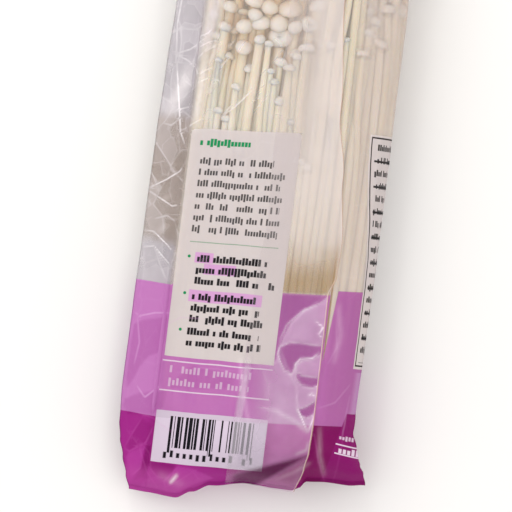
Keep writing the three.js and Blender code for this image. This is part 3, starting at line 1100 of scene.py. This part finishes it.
# Patches, long folds and swells: what both plies share, and what lifts the film off the bunch
def crumple(x, y, margin, calm, loose):
    ends = np.maximum(1 - ease(y, *film["lowerEnd"]), ease(y, *film["upperEnd"]))
    side = ease(x, *film["sideFrom"])
    soft = 0.5 * waves(x, y, *fields["swell"]) + 0.22 * waves(x, y, *fields["fineSwell"])
    bent = 0.6 * waves(x, y, *fields["bend"])
    wide = shards(x + bent, y - bent, *fields["patches"])
    narrow = shards(x + y / 3, y - x / 2, *fields["smallPatches"])
    flats = 0.9 - 1.6 * np.abs(wide) + 0.3 * (0.8 - 1.4 * np.abs(narrow))
    long = folds(x, y, *fields["longFolds"])
    shared = margin * calm * (0.3 * soft + 0.4 * flats) + ends * (0.4 * soft + 0.4 * long)
    lifted = (1 - margin) * (0.1 * loose * flats + 0.15 * (1 - ends) * side * soft)
    return wide, narrow, shared, lifted


# The film lies on the contents, sags between them, and carries the creases and the crumpled patches
def shapeFilm(contents):
    heights, points, wrap = filmGrid()
    normals = facesOut(points)
    x, y = points[..., 0], points[..., 1]
    over = np.arange(points.shape[1]) < film["around"]
    body = ease(x, *film["bodyFrom"])
    margin = (1 - ease(x, *film["marginUntil"])) * ease(y, *film["marginFrom"])
    calm = 0.12 + 0.14 * ease(y, *film["crispFrom"]) + 0.74 * ease(y, *film["crumpledFrom"])

    room = roomInside(points, normals, contents)
    touch = blurred(clung(room, film["step"], 1, film["clingRadius"], 12), 0, 6, False)
    filled = body * ease(y, *film["filledFrom"]) * (1 - ease(y, *film["filledUntil"]))
    taut = 1 - film["tautness"] * (1 - ease(x, *film["tautUntil"])) * over
    sag = (blurred(touch, 1, 2) * taut - film["standOff"]) * filled

    loose = np.clip(0.25 + 0.9 * (touch - 0.6), 0.12, 1)
    wide, narrow, shared, lifted = crumple(x, y, margin, calm, loose)
    raised, strength, aside = strokes(x, y, creases)
    lifted = lifted + film["creaseRise"] * raised * over
    clear = np.minimum(np.abs(points[..., 2] - 0.3), 1.0)
    sealed = ease(heights, 3, 9) * (1 - ease(heights, bag["upperSeal"] - 9, bag["upperSeal"] - 1))
    level = sealed[:, None]
    move = np.maximum(lifted * level - sag, film["skinGap"] - leastNear(room))
    upward = np.where(over, 1.0, -1.0)
    points[..., 0] += move * normals[..., 0] * body
    points[..., 2] += move * (normals[..., 2] * body + upward * (1 - body))
    points[..., 2] += np.where(over, 1, clear) * shared * (0.35 + 0.65 * level)
    points[..., 2] = np.maximum(points[..., 2], film["tableGap"] + 0.02 * over)

    marks = {
        "strength": strength * over,
        "aside": aside,
        "wide": wide,
        "narrow": narrow,
        "free": np.maximum(margin, 0.25 * loose * (1 - margin)) * (0.3 + 0.7 * calm),
        "haze": strokes(x, y, paintedReflections)[0] * over,
        "dim": sum(share * ease(inside(x, y, outline), -0.5, 0.5) for outline, share in filmTouches) * over,
    }
    return heights, points, wrap, over, marks


# Faces round the bag and across both of its sealed ends
def filmFaces(rows, around, count):
    faces = quads(rows, around)
    for row, turned in ((0, True), (rows - 1, False)):
        base = row * around
        for k in range(count - 1):
            face = (base + k, base + k + 1, base + (around - k - 1) % around, base + (around - k) % around)
            face = tuple(dict.fromkeys(face))
            faces.append(face[::-1] if turned else face)
    return faces


def makeFilm(shape):
    points, wrap, over, marks = shape[1:]
    rows, around = points.shape[:2]
    piece = meshObject("filmBag", place(points.reshape(-1, 3)), filmFaces(rows, around, film["around"]))
    mesh = piece.data
    flat = np.stack([points[..., 0], points[..., 1], wrap], -1)
    storeOnPoints(mesh, "flatPlace", flat, "FLOAT_VECTOR")
    for name, values in marks.items():
        storeOnPoints(mesh, name, values)
    for zone in filmZones:
        mesh.materials.append(filmMaterial(zone))
    zoneOfFaces(mesh, flat, over)
    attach(piece, "root")
    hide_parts("film_bag")
    print("film:", len(mesh.vertices), "points")


# What is printed on the film: flat bands of colour, pale panels, and rows of dashes where print would be.
# Places are across and along the bag, in millimetres.
printed = {
    "bandTop": 76.3,
    "bandSlope": 0.07,
    "deepTop": 25.0,
    "label": (-35.4, 6.2, 47.0, 134.5),
    "bars": (-35.8, 6.6, 6.5, 26.3),
    "side": (0.4, 37.0, 50.0, 139.0),
    "light": "bc6cb3",
    "pinkLight": "cb85c6",
    "dullLight": "ab5f9f",
    "dimLight": "ad58a3",
    "dimDeep": "861a6c",
    "paleDeep": "b4459f",
    "sealLitPink": "b3499a",
    "tip": "841a66",
    "rim": "a57c4e",
    "deep": "7a1559",
    "brightDeep": "9c2a84",
    "deepLine": "cf68ba",
    "lightLine": "dfabdd",
    "fold": "bd86bb",
    "white": "d5cbcb",
    "lilac": "cfc0d2",
    "ink": "17161c",
    "green": "1c8a55",
    "pink": "d49fd0",
    "pale": "ddc9dc",
    "clear": "eadfd3",
    "rightClear": "dccdc5",
    "lavender": "b9b3bb",
    "brown": "9d8c82",
    "facetHighlight": "f4eef4",
    "foldWhite": "fffaff",
    "reflectionWhite": "f6f0f0",
    "reflectionGrey": "ddd5dc",
}


def panel(g, x, y, box, soft=0.1):
    return g.band(x, box[0], box[1], soft) * g.band(y, box[2], box[3], soft)


def roundPanel(g, x, y, box, corner):
    beyondX = ((x - (box[0] + box[1]) / 2).size() - ((box[1] - box[0]) / 2 - corner)).atLeast(0.0)
    beyondY = ((y - (box[2] + box[3]) / 2).size() - ((box[3] - box[2]) / 2 - corner)).atLeast(0.0)
    away = beyondX * beyondX + beyondY * beyondY
    return 1 - g.step(away, (corner - 0.1) ** 2, (corner + 0.1) ** 2)


# Rows of small upright dashes of uneven height, broken into groups of uneven length
def dashes(g, x, y, left, right, lines, pitch, height, letter, seed, thick=0.72):
    top = lines[0]
    row = ((top - y) / pitch).floor()
    inRow = top - y - row * pitch
    within = g.band(row, -0.5, lines[1] - 0.5, 0.02)
    cell = ((x - left) / letter + row * 37.0).floor()
    share = (x - left) / letter + row * 37.0 - cell
    there = g.chance(cell, row, seed) > 0.17
    tall = g.chance(cell, row, seed + 3.7)
    low = g.chance(cell, row, seed + 9.1)
    roof = height * 0.3 * (1 - g.step(tall, 0.6, 0.64))
    foot = height * (1 + 0.22 * g.step(low, 0.84, 0.88))
    upright = g.band(inRow, roof, foot, 0.12)
    body = g.band(share, (1 - thick) / 2, (1 + thick) / 2, 0.1)
    end = right - 7.5 * g.chance(row, seed + 1.3)
    return within * there * upright * body * g.band(x, left, end, 0.08)


# Height along the bag measured from the bands' slanted edges, which dip under the flap
def bandHeight(g, x, y):
    flapDip = g.band(x, 4.5, 24.3, 0.3) * g.step(y, 40.0, 70.0) * 1.7
    marginDip = (x + 35.5).atMost(0.0) * 0.112 + (1 - g.step(x, -36.2, -35.0)) * g.step(y, 40.0, 60.0) * 0.9
    return y - printed["bandSlope"] * (x + 5) + flapDip + marginDip


# Height along the bag measured from the slanted rows of print, steeper and steeper towards the top
def rowHeight(x, y):
    return y - (x + 15) * ((y - 85.0).atLeast(0.0) * 0.0009 + 0.032)


# Each print is a list of layers: where it is, its colour and how much it covers
def bandPrint(g, at):
    x, cloud, dim = at["x"], at["cloud"], g.attribute("dim")
    y = bandHeight(g, x, at["y"])
    bare = g.band(x, 24.3, (y - 50.0) * 0.104 + 24.4, 0.1) * (y > 50.0)
    shadow = bare * g.band(x, 24.3, 25.0, 0.25) * (1 - 0.9 * g.step(y, 78.0, 105.0))
    light = (1 - g.step(y, printed["bandTop"] - 0.12, printed["bandTop"] + 0.12)) * (1 - bare)
    deep = 1 - g.step(y, printed["deepTop"] - 0.12, printed["deepTop"] + 0.12)
    body = g.step(x, -38.0, -33.0) * g.step(at["y"] + x * 0.16, 2.5, 10.0)
    # Lighter pink along the lower seal: painted light, for highlights and for light coming through the thin
    # seal
    sealed = (1 - g.step(at["y"] + cloud * 3.0, 2.0, 7.0)) * (1 - g.step(x, -24.0, -8.0)) * 0.6
    return [
        (light, "light", 0.78 + cloud * 0.08),
        (light * (1 - g.step(x, -38.0, -34.0)) * 0.6, "pinkLight", 0.0),
        (light * dim.atLeast(0.0), "dimLight", 0.0),
        (light * g.step(x, 22.0, 30.0) * 0.8, "dullLight", 0.0),
        (shadow, "rim", 0.5),
        (deep, "brightDeep", 0.97),
        (deep * body, "deep", 0.97),
        (deep * dim.atLeast(0.0), "dimDeep", 0.0),
        (deep * (0 - dim).atLeast(0.0), "paleDeep", 0.0),
        (sealed, "sealLitPink", 0.9),
    ]


def labelPrint(g, at):
    x, y = at["x"], at["row"]
    white = roundPanel(g, x, y, printed["label"], 1.4).atLeast(panel(g, x, y, printed["label"]) * (y < 100.0))
    pink = panel(g, x, y, (-28.4, -21.4, 83.3, 87.3)).atLeast(panel(g, x, y, (-24.6, -12.4, 79.1, 83.1)))
    pink = pink.atLeast(panel(g, x, y, (-29.0, -1.2, 68.4, 72.9)))
    ink = dashes(g, x, y, -31.0, 3.5, (123.7, 7), 4.37, 2.5, 1.06, 1.0) * 0.9
    for left, lines, pitch, seed in ((-27.6, (86.4, 3), 4.25, 2.0), (-27.8, (71.9, 3), 4.25, 3.0),
                                     (-28.0, (58.5, 2), 4.2, 4.0)):
        ink = ink.atLeast(dashes(g, x, y, left, 3.0, lines, pitch, 2.7, 1.22, seed, 0.84))
    green = dashes(g, x, y, -31.8, -9.0, (130.9, 1), 4.0, 2.6, 1.3, 8.0, 0.84)
    green = green.atLeast(g.band(y, 91.0, 91.4, 0.05) * g.band(x, -31.0, 2.6, 0.1) * 0.55)
    for dotY in (85.5, 71.3, 57.5):
        away = (x + 30.6) * (x + 30.6) + (y - dotY) * (y - dotY)
        green = green.atLeast(1 - g.step(away, 0.25, 0.45))
    return [(white, "white", 0.8), (pink, "pink", 0.85), (green, "green", 0.93), (ink, "ink", 0.95)]


def linesPrint(g, at):
    x, y = at["x"], at["row"]
    lines = g.band(y, 45.0, 45.5, 0.05).atLeast(g.band(y, 33.8, 34.3, 0.05)) * g.band(x, -35.8, 6.0, 0.1)
    rows = dashes(g, x, y, -33.0, 3.5, (43.6, 2), 4.7, 2.7, 1.5, 9.0, 0.6)
    return [(lines.atLeast(rows * 0.6), "pale", 0.85)]


def barsPrint(g, at):
    x, y = at["x"], at["row"]
    white = panel(g, x, y, printed["bars"])
    ends = g.band(x, -30.1, -28.8, 0.05) + g.band(x, -14.8, -13.6, 0.05) + g.band(x, 0.3, 1.6, 0.05)
    dark = g.chance(((x + 30.1) / 0.33).floor(), 5.0) > 0.45
    symbol = dark * g.band(x, -30.1, 1.6, 0.05) * g.band(y, 12.4 - 2.0 * ends, 24.4, 0.1)
    marks = dashes(g, x, y, -32.0, 6.5, (11.4, 1), 4.0, 2.6, 2.5, 6.0, 0.5) * (1 - ends)
    return [(white, "lilac", 0.85), (symbol.atLeast(marks), "ink", 0.93)]


def sidePrint(g, at):
    y = at["y"]
    x = at["wrap"] - 2.6 + 5.6 * g.step(y, 80.0, 139.0)
    white = panel(g, x, y, printed["side"])
    line = panel(g, x, y, (1.2, 36.2, 51, 138.2)) * (1 - panel(g, x, y, (1.7, 35.6, 51.6, 137.6), 0.08))
    rules = g.band((138.2 - y) % 9.6, 8.7, 9.5, 0.08) * panel(g, x, y, (3.0, 34.5, 52.5, 137.0))
    rows = dashes(g, x, y, 3.2, 40.0, (135.6, 17), 4.8, 2.4, 1.1, 7.0, 0.8) * (x < 34.0)
    return [(white, "white", 0.8), (line.atLeast(rules).atLeast(rows), "ink", 0.9)]


# Beside the fold at the lower right the other side's print comes round
def tipPrint(g, at):
    x, y = at["x"], at["y"]
    foldAt = (30.0 + (y - 10.0) * 0.25).atMost(36.0 + (y - 32.0) * 0.03)
    past = g.step(x, foldAt, foldAt + 0.5)
    low = 1 - g.step(y, 32.6, 33.0)
    slanted = y + (x - 34.0) * 0.135
    lines = g.band(slanted, 20.8, 21.3, 0.08).atLeast(g.band(slanted, 17.3, 17.8, 0.08)) * (x > 33.0)
    row = dashes(g, x, slanted, 34.2, 52.0, (20.3, 1), 4.0, 2.4, 1.7, 31.0, 0.7)
    row = row.atLeast(dashes(g, x, slanted, 34.0, 48.0, (24.6, 1), 4.0, 1.5, 1.2, 33.0, 0.7) * 0.8)
    return [(g.step(x, foldAt, foldAt + 2.5) * (1 - low), "fold", 0.8), (past * low, "tip", 0.96),
            (lines.atLeast(row) * past * low, "pale", 0.75)]


# Clear film lets most light through, print covers it, and all of it mirrors a little
def filmSurface(g, color, cover, gloss, normal=None):
    mirror = g.node("ShaderNodeFresnel", {}, {"IOR": 1.3}).atMost(film["mostMirror"]) * (1 - 0.9 * cover)
    shine = {"Color": (1, 1, 1, 1), "Roughness": gloss}
    skin = {"Base_Color": color, "Roughness": 0.6, "Specular_IOR_Level": 0.0}
    if normal:
        shine["Normal"] = normal
        skin["Normal"] = normal
    glint = g.node("ShaderNodeBsdfGlossy", {}, shine)
    clear = g.node("ShaderNodeBsdfTransparent", {}, {"Color": (0.985, 0.98, 0.985, 1)})
    matt = g.node("ShaderNodeMixShader", {}, {0: cover, 1: clear, 2: g.principled(**skin)})
    return g.node("ShaderNodeMixShader", {}, {0: mirror, 1: matt, 2: glint})


# Thin lines along folds, painted lighter as highlights and partly as the whitening of creased film: where a
# stored field passes through nothing
def foldLine(g, field, halfWidth):
    return 1 - g.step(g.attribute(field).size(), halfWidth * 0.3, halfWidth)


# One material for each stretch of print keeps every one of them small
filmZones = {
    "Plain": (None, None),
    "Label": (labelPrint, (-36.8, 8.4, 45.6, 137.5)),
    "Lines": (linesPrint, (-36.8, 7.2, 31.5, 46.0)),
    "Bars": (barsPrint, (-37.5, 7.8, 4.5, 28.5)),
    "Tip": (tipPrint, (28.5, 60.0, -10.0, 49.0)),
    "Side": (sidePrint, None),
}


def filmMaterial(zone):
    g = Graph("film" + zone)
    x, y, wrap = g.parts(g.attribute("flatPlace", "Vector"))
    free = g.attribute("free")
    spot = g.spot()
    cloud = g.noise(spot, 55.0, 2.0)
    fineCloud = g.noise(spot, 320.0, 3.0)
    row = rowHeight(x, y) + (cloud - 0.5) * 0.8
    at = {"x": x, "y": y, "wrap": wrap, "cloud": cloud, "row": row}
    margin = 1 - g.step(x, -37.5, -34.5)
    lowMargin = g.band(y + cloud * 6.0, 92.0, 140.5, 2.5)
    # Painted highlight: half of the crumpled facets in the margin are lighter and cover more
    wideSide = g.step(g.attribute("wide"), -0.03, 0.03)
    narrowSide = g.step(g.attribute("narrow"), -0.04, 0.04)
    patch = wideSide * 0.4 + narrowSide * 0.3 + cloud * 0.5 - 0.4
    color = g.paint(lowMargin, hexColor(printed["lavender"]), printed["brown"])
    color = g.paint((patch * 0.42).atLeast(0.0), color, printed["facetHighlight"])
    right = g.step(x, 20.0, 27.0)
    body = g.paint(right, hexColor(printed["clear"]), printed["rightClear"])
    color = g.blend(margin, body, color)
    cover = 0.25 + margin * (0.02 + cloud * 0.34 + patch * 0.12) + right * (0.12 + cloud * 0.3)
    layers = bandPrint(g, at)
    if filmZones[zone][0]:
        layers += filmZones[zone][0](g, at)
    for mask, tint, strength in layers:
        color = g.paint(mask, color, printed[tint])
        cover = cover.atLeast(mask * strength)
    # Lines along folds and creases painted lighter: painted highlights, partly also the whitening of creased
    # film
    faint = foldLine(g, "wide", 0.075).atLeast(foldLine(g, "narrow", 0.1) * 0.5) * free * (cloud * 1.6 - 0.25)
    faint = faint * (0.4 + 0.6 * g.step(y, 70.0, 80.0))
    drawn = foldLine(g, "aside", 0.55) * g.attribute("strength") * (0.55 + fineCloud * 0.7)
    line = drawn.atLeast(faint * 0.6).atMost(1.0) * (1 - 0.6 * (1 - g.step(y, 22.0, 30.0)))
    lineColor = g.paint(g.step(y, 74.0, 76.0), hexColor(printed["lightLine"]), printed["foldWhite"])
    lineColor = g.blend(g.step(y, 22.0, 24.0), hexColor(printed["deepLine"]), lineColor)
    color = g.blend(line * 0.85, color, g.blend(margin * 0.25 + 0.6, color, lineColor))
    # Painted reflections: soft whiter stretches that also cover more
    haze = g.attribute("haze") * (0.6 + fineCloud * 0.7)
    reflectionColor = g.paint(g.step(y, 152.0, 162.0), hexColor(printed["reflectionWhite"]), printed["reflectionGrey"])
    color = g.blend(haze * 0.75, color, reflectionColor)
    cover = cover.atLeast(line * (0.62 + margin * 0.15)) + haze * 0.5
    return g.finish(filmSurface(g, color, cover, 0.13, g.bump(fineCloud, 0.12, 0.0004)))


# Which zone's material each face gets, by where its first corner is
def zoneOfFaces(mesh, flat, over):
    corners = np.empty(len(mesh.loops), np.int32)
    mesh.loops.foreach_get("vertex_index", corners)
    starts = np.empty(len(mesh.polygons), np.int32)
    mesh.polygons.foreach_get("loop_start", starts)
    first = corners[starts]
    at, upper = flat.reshape(-1, 3)[first], np.broadcast_to(over, flat.shape[:2]).ravel()[first]
    zone = np.zeros(len(starts), np.int32)
    for number, (draw, box) in enumerate(filmZones.values()):
        if box:
            inBox = (at[:, 0] > box[0]) & (at[:, 0] < box[1]) & (at[:, 1] > box[2]) & (at[:, 1] < box[3])
            zone[inBox & upper] = number
        elif draw:
            low, high = printed["side"][:2]
            zone[(at[:, 2] > low - 4) & (at[:, 2] < high + 4) & (at[:, 1] > 48) & (at[:, 1] < 141)] = number
    mesh.polygons.foreach_set("material_index", zone)


# The free strip of film along the back seam: its edges at each height, its lift and its colours
flap = {
    "left": ((0, -6.6), (30, -6.4), (45, -5.6), (70, -4.5), (85, -4.3), (100, -2.8), (125, -3.8),
             (238, -4.5)),
    "right": ((0, 19.8), (8, 22.6), (15, 23.6), (30, 24.0), (60, 23.8), (76, 23.6), (84, 25.9), (95, 26.4),
              (121, 23.8), (146, 19.8), (190, 16.2), (238, 14)),
    "bottom": 0.4,
    "top": 232.0,
    "columns": 66,
    "touch": 0.3,
    "edgeLift": 2.4,
    "mostLift": 3.2,
    "clear": "ede2de",
    "overPrint": "d8bcd6",
    "wet": "9a5590",
    "tan": "ab8c63",
    "overDeep": "cf8dc4",
    "overBars": "d2c9d6",
    "shade": "5a1148",
    "overLabel": "e3dada",
    "glint": "f6ecf6",
    "edge": "e6c8bb",
    "rim": "b08b72",
}
# Outlines of the places where the flap lies flat on the film, across and along the bag
flapTouches = (
    ((-6, 46), (-6, 90), (29, 90), (24.2, 81), (23.4, 76.3), (19.9, 73.0), (15.0, 70.2), (10.4, 64.4),
     (8.0, 59.0), (7.2, 54.5), (6.4, 50)),
    ((7.9, 54.8), (11, 56.6), (15.4, 57.2), (20, 56.8), (25.5, 57.6), (25.5, 55.6), (20.2, 52.3),
     (16.6, 51.3), (14.2, 49.1), (13.2, 45.7), (10.8, 46.5), (8.6, 50), (7.6, 52.6)),
    ((15.1, 46), (17, 45), (19.5, 44.7), (25.5, 45.3), (25.5, 43.2), (21.4, 41.4), (17.7, 41.9),
     (15.6, 43.9)),
    ((17.4, 32.1), (20.4, 33.5), (25.5, 37.6), (25.5, 33.9), (22.8, 31), (20.8, 29.8), (18.6, 30.3)),
)

# Painted highlights along folds of the flap, each as its route, its half width and its strength
flapGlints = (
    (((20.3, 73.0), (13.8, 69.0), (9.1, 63.6), (7.4, 58.1), (7.5, 54.8)), 0.5, 0.45),
    (((7.5, 54.8), (11.1, 47.8), (15.7, 40.8), (16.6, 33.4)), 0.6, 0.35),
    (((1.8, 31.6), (9.4, 30.7), (17.3, 27.6), (22.0, 24.2)), 0.9, 0.5),
    (((16.6, 33.4), (19.3, 28.9), (22.0, 24.2)), 0.5, 0.8),
    (((22.0, 24.2), (23.1, 28.3), (23.7, 31.9)), 0.5, 0.7),
    (((19.5, 66.5), (23.0, 64.3), (21.3, 60.8)), 0.6, 0.75),
    (((20.9, 61.9), (23.6, 60.0)), 0.6, 0.6),
    (((15.0, 46.1), (14.1, 49.2), (16.0, 51.6), (20.2, 52.1), (23.0, 55.1)), 0.6, 0.6),
    (((20.3, 37.9), (21.8, 38.9), (23.6, 37.6)), 0.6, 0.7),
    (((16.3, 39.8), (16.3, 36.1), (17.4, 33.0)), 0.5, 0.5),
    (((18.3, 15.4), (22.3, 17.5), (22.7, 20.8)), 0.6, 0.4),
    (((1.6, 46.6), (5.0, 40.6), (5.3, 33.7)), 1.2, 0.3),
)


# The film's surface below the flap, in rows from the flap's left edge to its free right edge
def flapGrid(heights, points):
    share = np.linspace(0, 1, flap["columns"])
    rows = []
    for y, over in zip(heights, points[:, :film["around"]]):
        if flap["bottom"] < y < flap["top"]:
            left = through(y, flap["left"])
            x = left + (through(y, flap["right"]) - left) * share
            surface = np.interp(x, over[:, 0], over[:, 2])
            along = np.interp(x, over[:, 0], over[:, 1]) - (0.8 + 0.9 * share) * (1 - ease(y, 0, 9))
            rows.append(np.stack([x, along, surface, share], 1))
    return np.moveaxis(np.array(rows), -1, 0)


# How far the flap stands off the film: its free edge rises below, but not where the flap clings flat
def flapLift(x, y, share, flat):
    edge = flap["edgeLift"] * (1 - ease(y, 72, 92)) * ease(share, 0.3, 0.95)
    lift = (edge + 0.5 * ease(share, 0.02, 0.3)) * (0.8 + 0.25 * waves(x, y, *fields["flapSwell"]))
    lift += 0.18 * folds(x, y, *fields["flapFolds"]) * ease(share, 0.1, 0.3)
    lift = np.clip(lift * (1 - flat), 0, flap["mostLift"]) * ease(y, 8, 16)
    return blurred(lift, 0, 2, False)


def makeFlap(shape, material):
    x, y, surface, share = flapGrid(*shape[:2])
    depths = [inside(x, y, outline) for outline in flapTouches]
    depth, patches = np.max(depths, 0), np.max(depths[1:], 0)
    flat = ease(depth, -1.1, 0.9) * (1 - ease(y, 82, 88))
    top = np.stack([x, y, surface + flap["touch"] + flapLift(x, y, share, flat)], -1)
    faces = quads(*x.shape, closed=False)
    piece = meshObject("backSeamFlap", place(top.reshape(-1, 3)), faces)
    mesh = piece.data
    storeOnPoints(mesh, "flatPlace", np.stack([x, y, share], -1), "FLOAT_VECTOR")
    storeOnPoints(mesh, "touch", flat)
    # Painted highlight lines round the patches where the flap lies flat
    outline = np.exp(-((depth + 0.4) / 0.5) ** 2) * ease(y, 58, 68) * (1 - ease(y, 76, 80)) * 0.8
    outline = np.maximum(outline, np.exp(-((patches + 0.4) / 0.45) ** 2))
    storeOnPoints(mesh, "outline", outline)
    storeOnPoints(mesh, "glint", strokes(x, y, flapGlints)[0])
    mesh.materials.append(material)
    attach(piece, "root")
    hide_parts("back_seam_flap")
    print("flap:", len(mesh.vertices), "points")


def flapMaterial():
    g = Graph("milkyFilm")
    x, y, share = g.parts(g.attribute("flatPlace", "Vector"))
    touch = g.attribute("touch")
    outline = g.attribute("outline")
    glint = g.attribute("glint")
    cloud = g.noise(g.spot(), 70.0, 2.0)
    yBand = bandHeight(g, x, y)
    printedBelow = 1 - g.step(yBand, printed["bandTop"] - 1, printed["bandTop"] + 1)
    deepBelow = 1 - g.step(yBand, printed["deepTop"] - 0.3, printed["deepTop"] + 0.3)
    row = rowHeight(x, y)
    onLabel = panel(g, x, row, printed["label"])
    # Painted shade: a darker tan over the stems under the lifted flap, above the print
    tan = (1 - g.step(yBand + cloud * 8.0, 84.0, 104.0)) * (1 - printedBelow)
    aboveFold = y - 10.5 - (x - 8.0) * 0.41
    folded = 1 - g.step(aboveFold, -2.2, 0.6)
    shade = folded * g.step(aboveFold - (x - 8.0) * 0.37, -9.0, -5.5) * g.step(x, -7.5, -2.0)
    edge = g.step(share, 0.976, 0.984) * (1 - 0.75 * g.band(y, 80.0, 138.0, 4.0))
    rim = g.step(share, 0.988, 0.992)
    seam = g.band(share, 0.015, 0.11, 0.03) * g.band(y, 8.0, 50.0, 3.0)
    wet = touch * printedBelow
    overPrint = g.paint(wet, hexColor(flap["overPrint"]), flap["wet"])
    color = g.blend(printedBelow, hexColor(flap["clear"]), overPrint)
    color = g.paint(tan, color, flap["tan"])
    onBars = panel(g, x, row, printed["bars"])
    overDeep = g.paint(onBars, hexColor(flap["overDeep"]), flap["overBars"])
    color = g.blend(deepBelow, color, overDeep)
    color = g.paint(shade, color, flap["shade"])
    color = g.paint(onLabel, color, flap["overLabel"])
    # Painted highlights: a light line along the free edge, round the flat patches, along the folds and on the
    # strip by the seam
    shine = (edge + outline * 0.8 + glint * 1.2 + seam * 0.4).atMost(1.0)
    color = g.paint(shine, color, flap["glint"])
    color = g.paint(edge * 0.7, color, flap["edge"])
    color = g.paint(rim * 0.8, color, flap["rim"])
    veil = (0.47 + cloud * 0.12 - (1 - g.step(y, 86.0, 116.0)) * 0.24) * (0.35 + 0.65 * g.step(x, 0.0, 10.0))
    veil = veil + tan * 0.16
    ramp = g.step(x, -4.0, 12.0).atLeast(g.step(y, 44.0, 50.0))
    milky = (0.16 + cloud * 0.52) * ramp * (1 - 0.45 * touch)
    milky = g.blend(printedBelow, veil, milky) * (1 - (0.85 - 0.4 * g.step(row, 88.0, 92.0)) * onLabel)
    milky = milky.atLeast(onBars * (0.2 + cloud * 0.25)) + deepBelow * (1 - onBars) * ramp * 0.08
    milky = milky * (1 - folded * 0.7) + shade * 0.5
    cover = (milky + 0.03).atLeast(outline * (cloud * 1.6 - 0.35)).atLeast(edge * 0.6).atLeast(seam * 0.34)
    cover = cover.atLeast((glint * 1.1).atMost(0.7))
    return g.finish(filmSurface(g, color, cover, 0.18))


# The camera looks straight down, turned a little; the room is bright and soft
view = {
    "lens": 600.0,
    "sensor": 36.0,
    "target": (-5.5, 88.0, 26.0),
    "frameWidth": 194.3,
    "roll": 7.0,
    "roomColor": (1.0, 0.985, 0.97, 1),
    "roomStrength": 0.88,
    "lampColor": (1.0, 0.975, 0.95),
    "lampTarget": (0, 0, 0.02),
    "floorHalf": 3.0,
    "floorColor": "f0efee",
}
# Each lamp's name, energy, size and place
lamps = (
    ("windowLight", 5.4, 1.1, (-0.6, 0.5, 0.95)),
    ("fillLight", 4.2, 1.4, (0.9, -0.5, 1.1)),
    ("glintLight", 0.35, 0.1, (-0.2, 0.5, 0.6)),
)


def makeStage():
    scene, far = bpy.context.scene, view["floorHalf"]
    corners = [(-far, -far, 0), (far, -far, 0), (far, far, 0), (-far, far, 0)]
    floor = meshObject("floor", corners, [(0, 1, 2, 3)], False)
    g = Graph("paleFloor")
    matt = g.principled(Base_Color=hexColor(view["floorColor"]), Roughness=0.7)
    floor.data.materials.append(g.finish(matt))

    world = bpy.data.worlds.new("softRoom")
    world.use_nodes = True
    room = world.node_tree.nodes["Background"].inputs
    room["Color"].default_value = view["roomColor"]
    room["Strength"].default_value = view["roomStrength"]
    scene.world = world

    for name, energy, size, spot in lamps:
        lamp = bpy.data.lights.new(name, "AREA")
        lamp.energy = energy
        lamp.size = size
        lamp.color = view["lampColor"]
        made = linked(name, lamp)
        made.location = spot
        aim = Vector(view["lampTarget"]) - Vector(spot)
        made.rotation_euler = aim.to_track_quat("-Z", "Y").to_euler()

    camera = bpy.data.cameras.new("camera")
    camera.lens = view["lens"]
    camera.sensor_width = view["sensor"]
    made = linked("camera", camera)
    target = place([view["target"]])[0]
    distance = view["frameWidth"] * mm * view["lens"] / view["sensor"]
    made.location = (target[0], target[1], target[2] + distance)
    made.rotation_euler = (0, 0, math.radians(view["roll"]))
    scene.camera = made
    scene.view_settings.view_transform = "Standard"
    scene.cycles.transparent_max_bounces = 24
    print("stage:", len(lamps), "lamps")


makeStage()
contents = growMushrooms(stemFleshMaterial(), capFleshMaterial())
contents.append(makeRoot())
shape = shapeFilm(contentsTree(contents))
makeFilm(shape)
makeFlap(shape, flapMaterial())
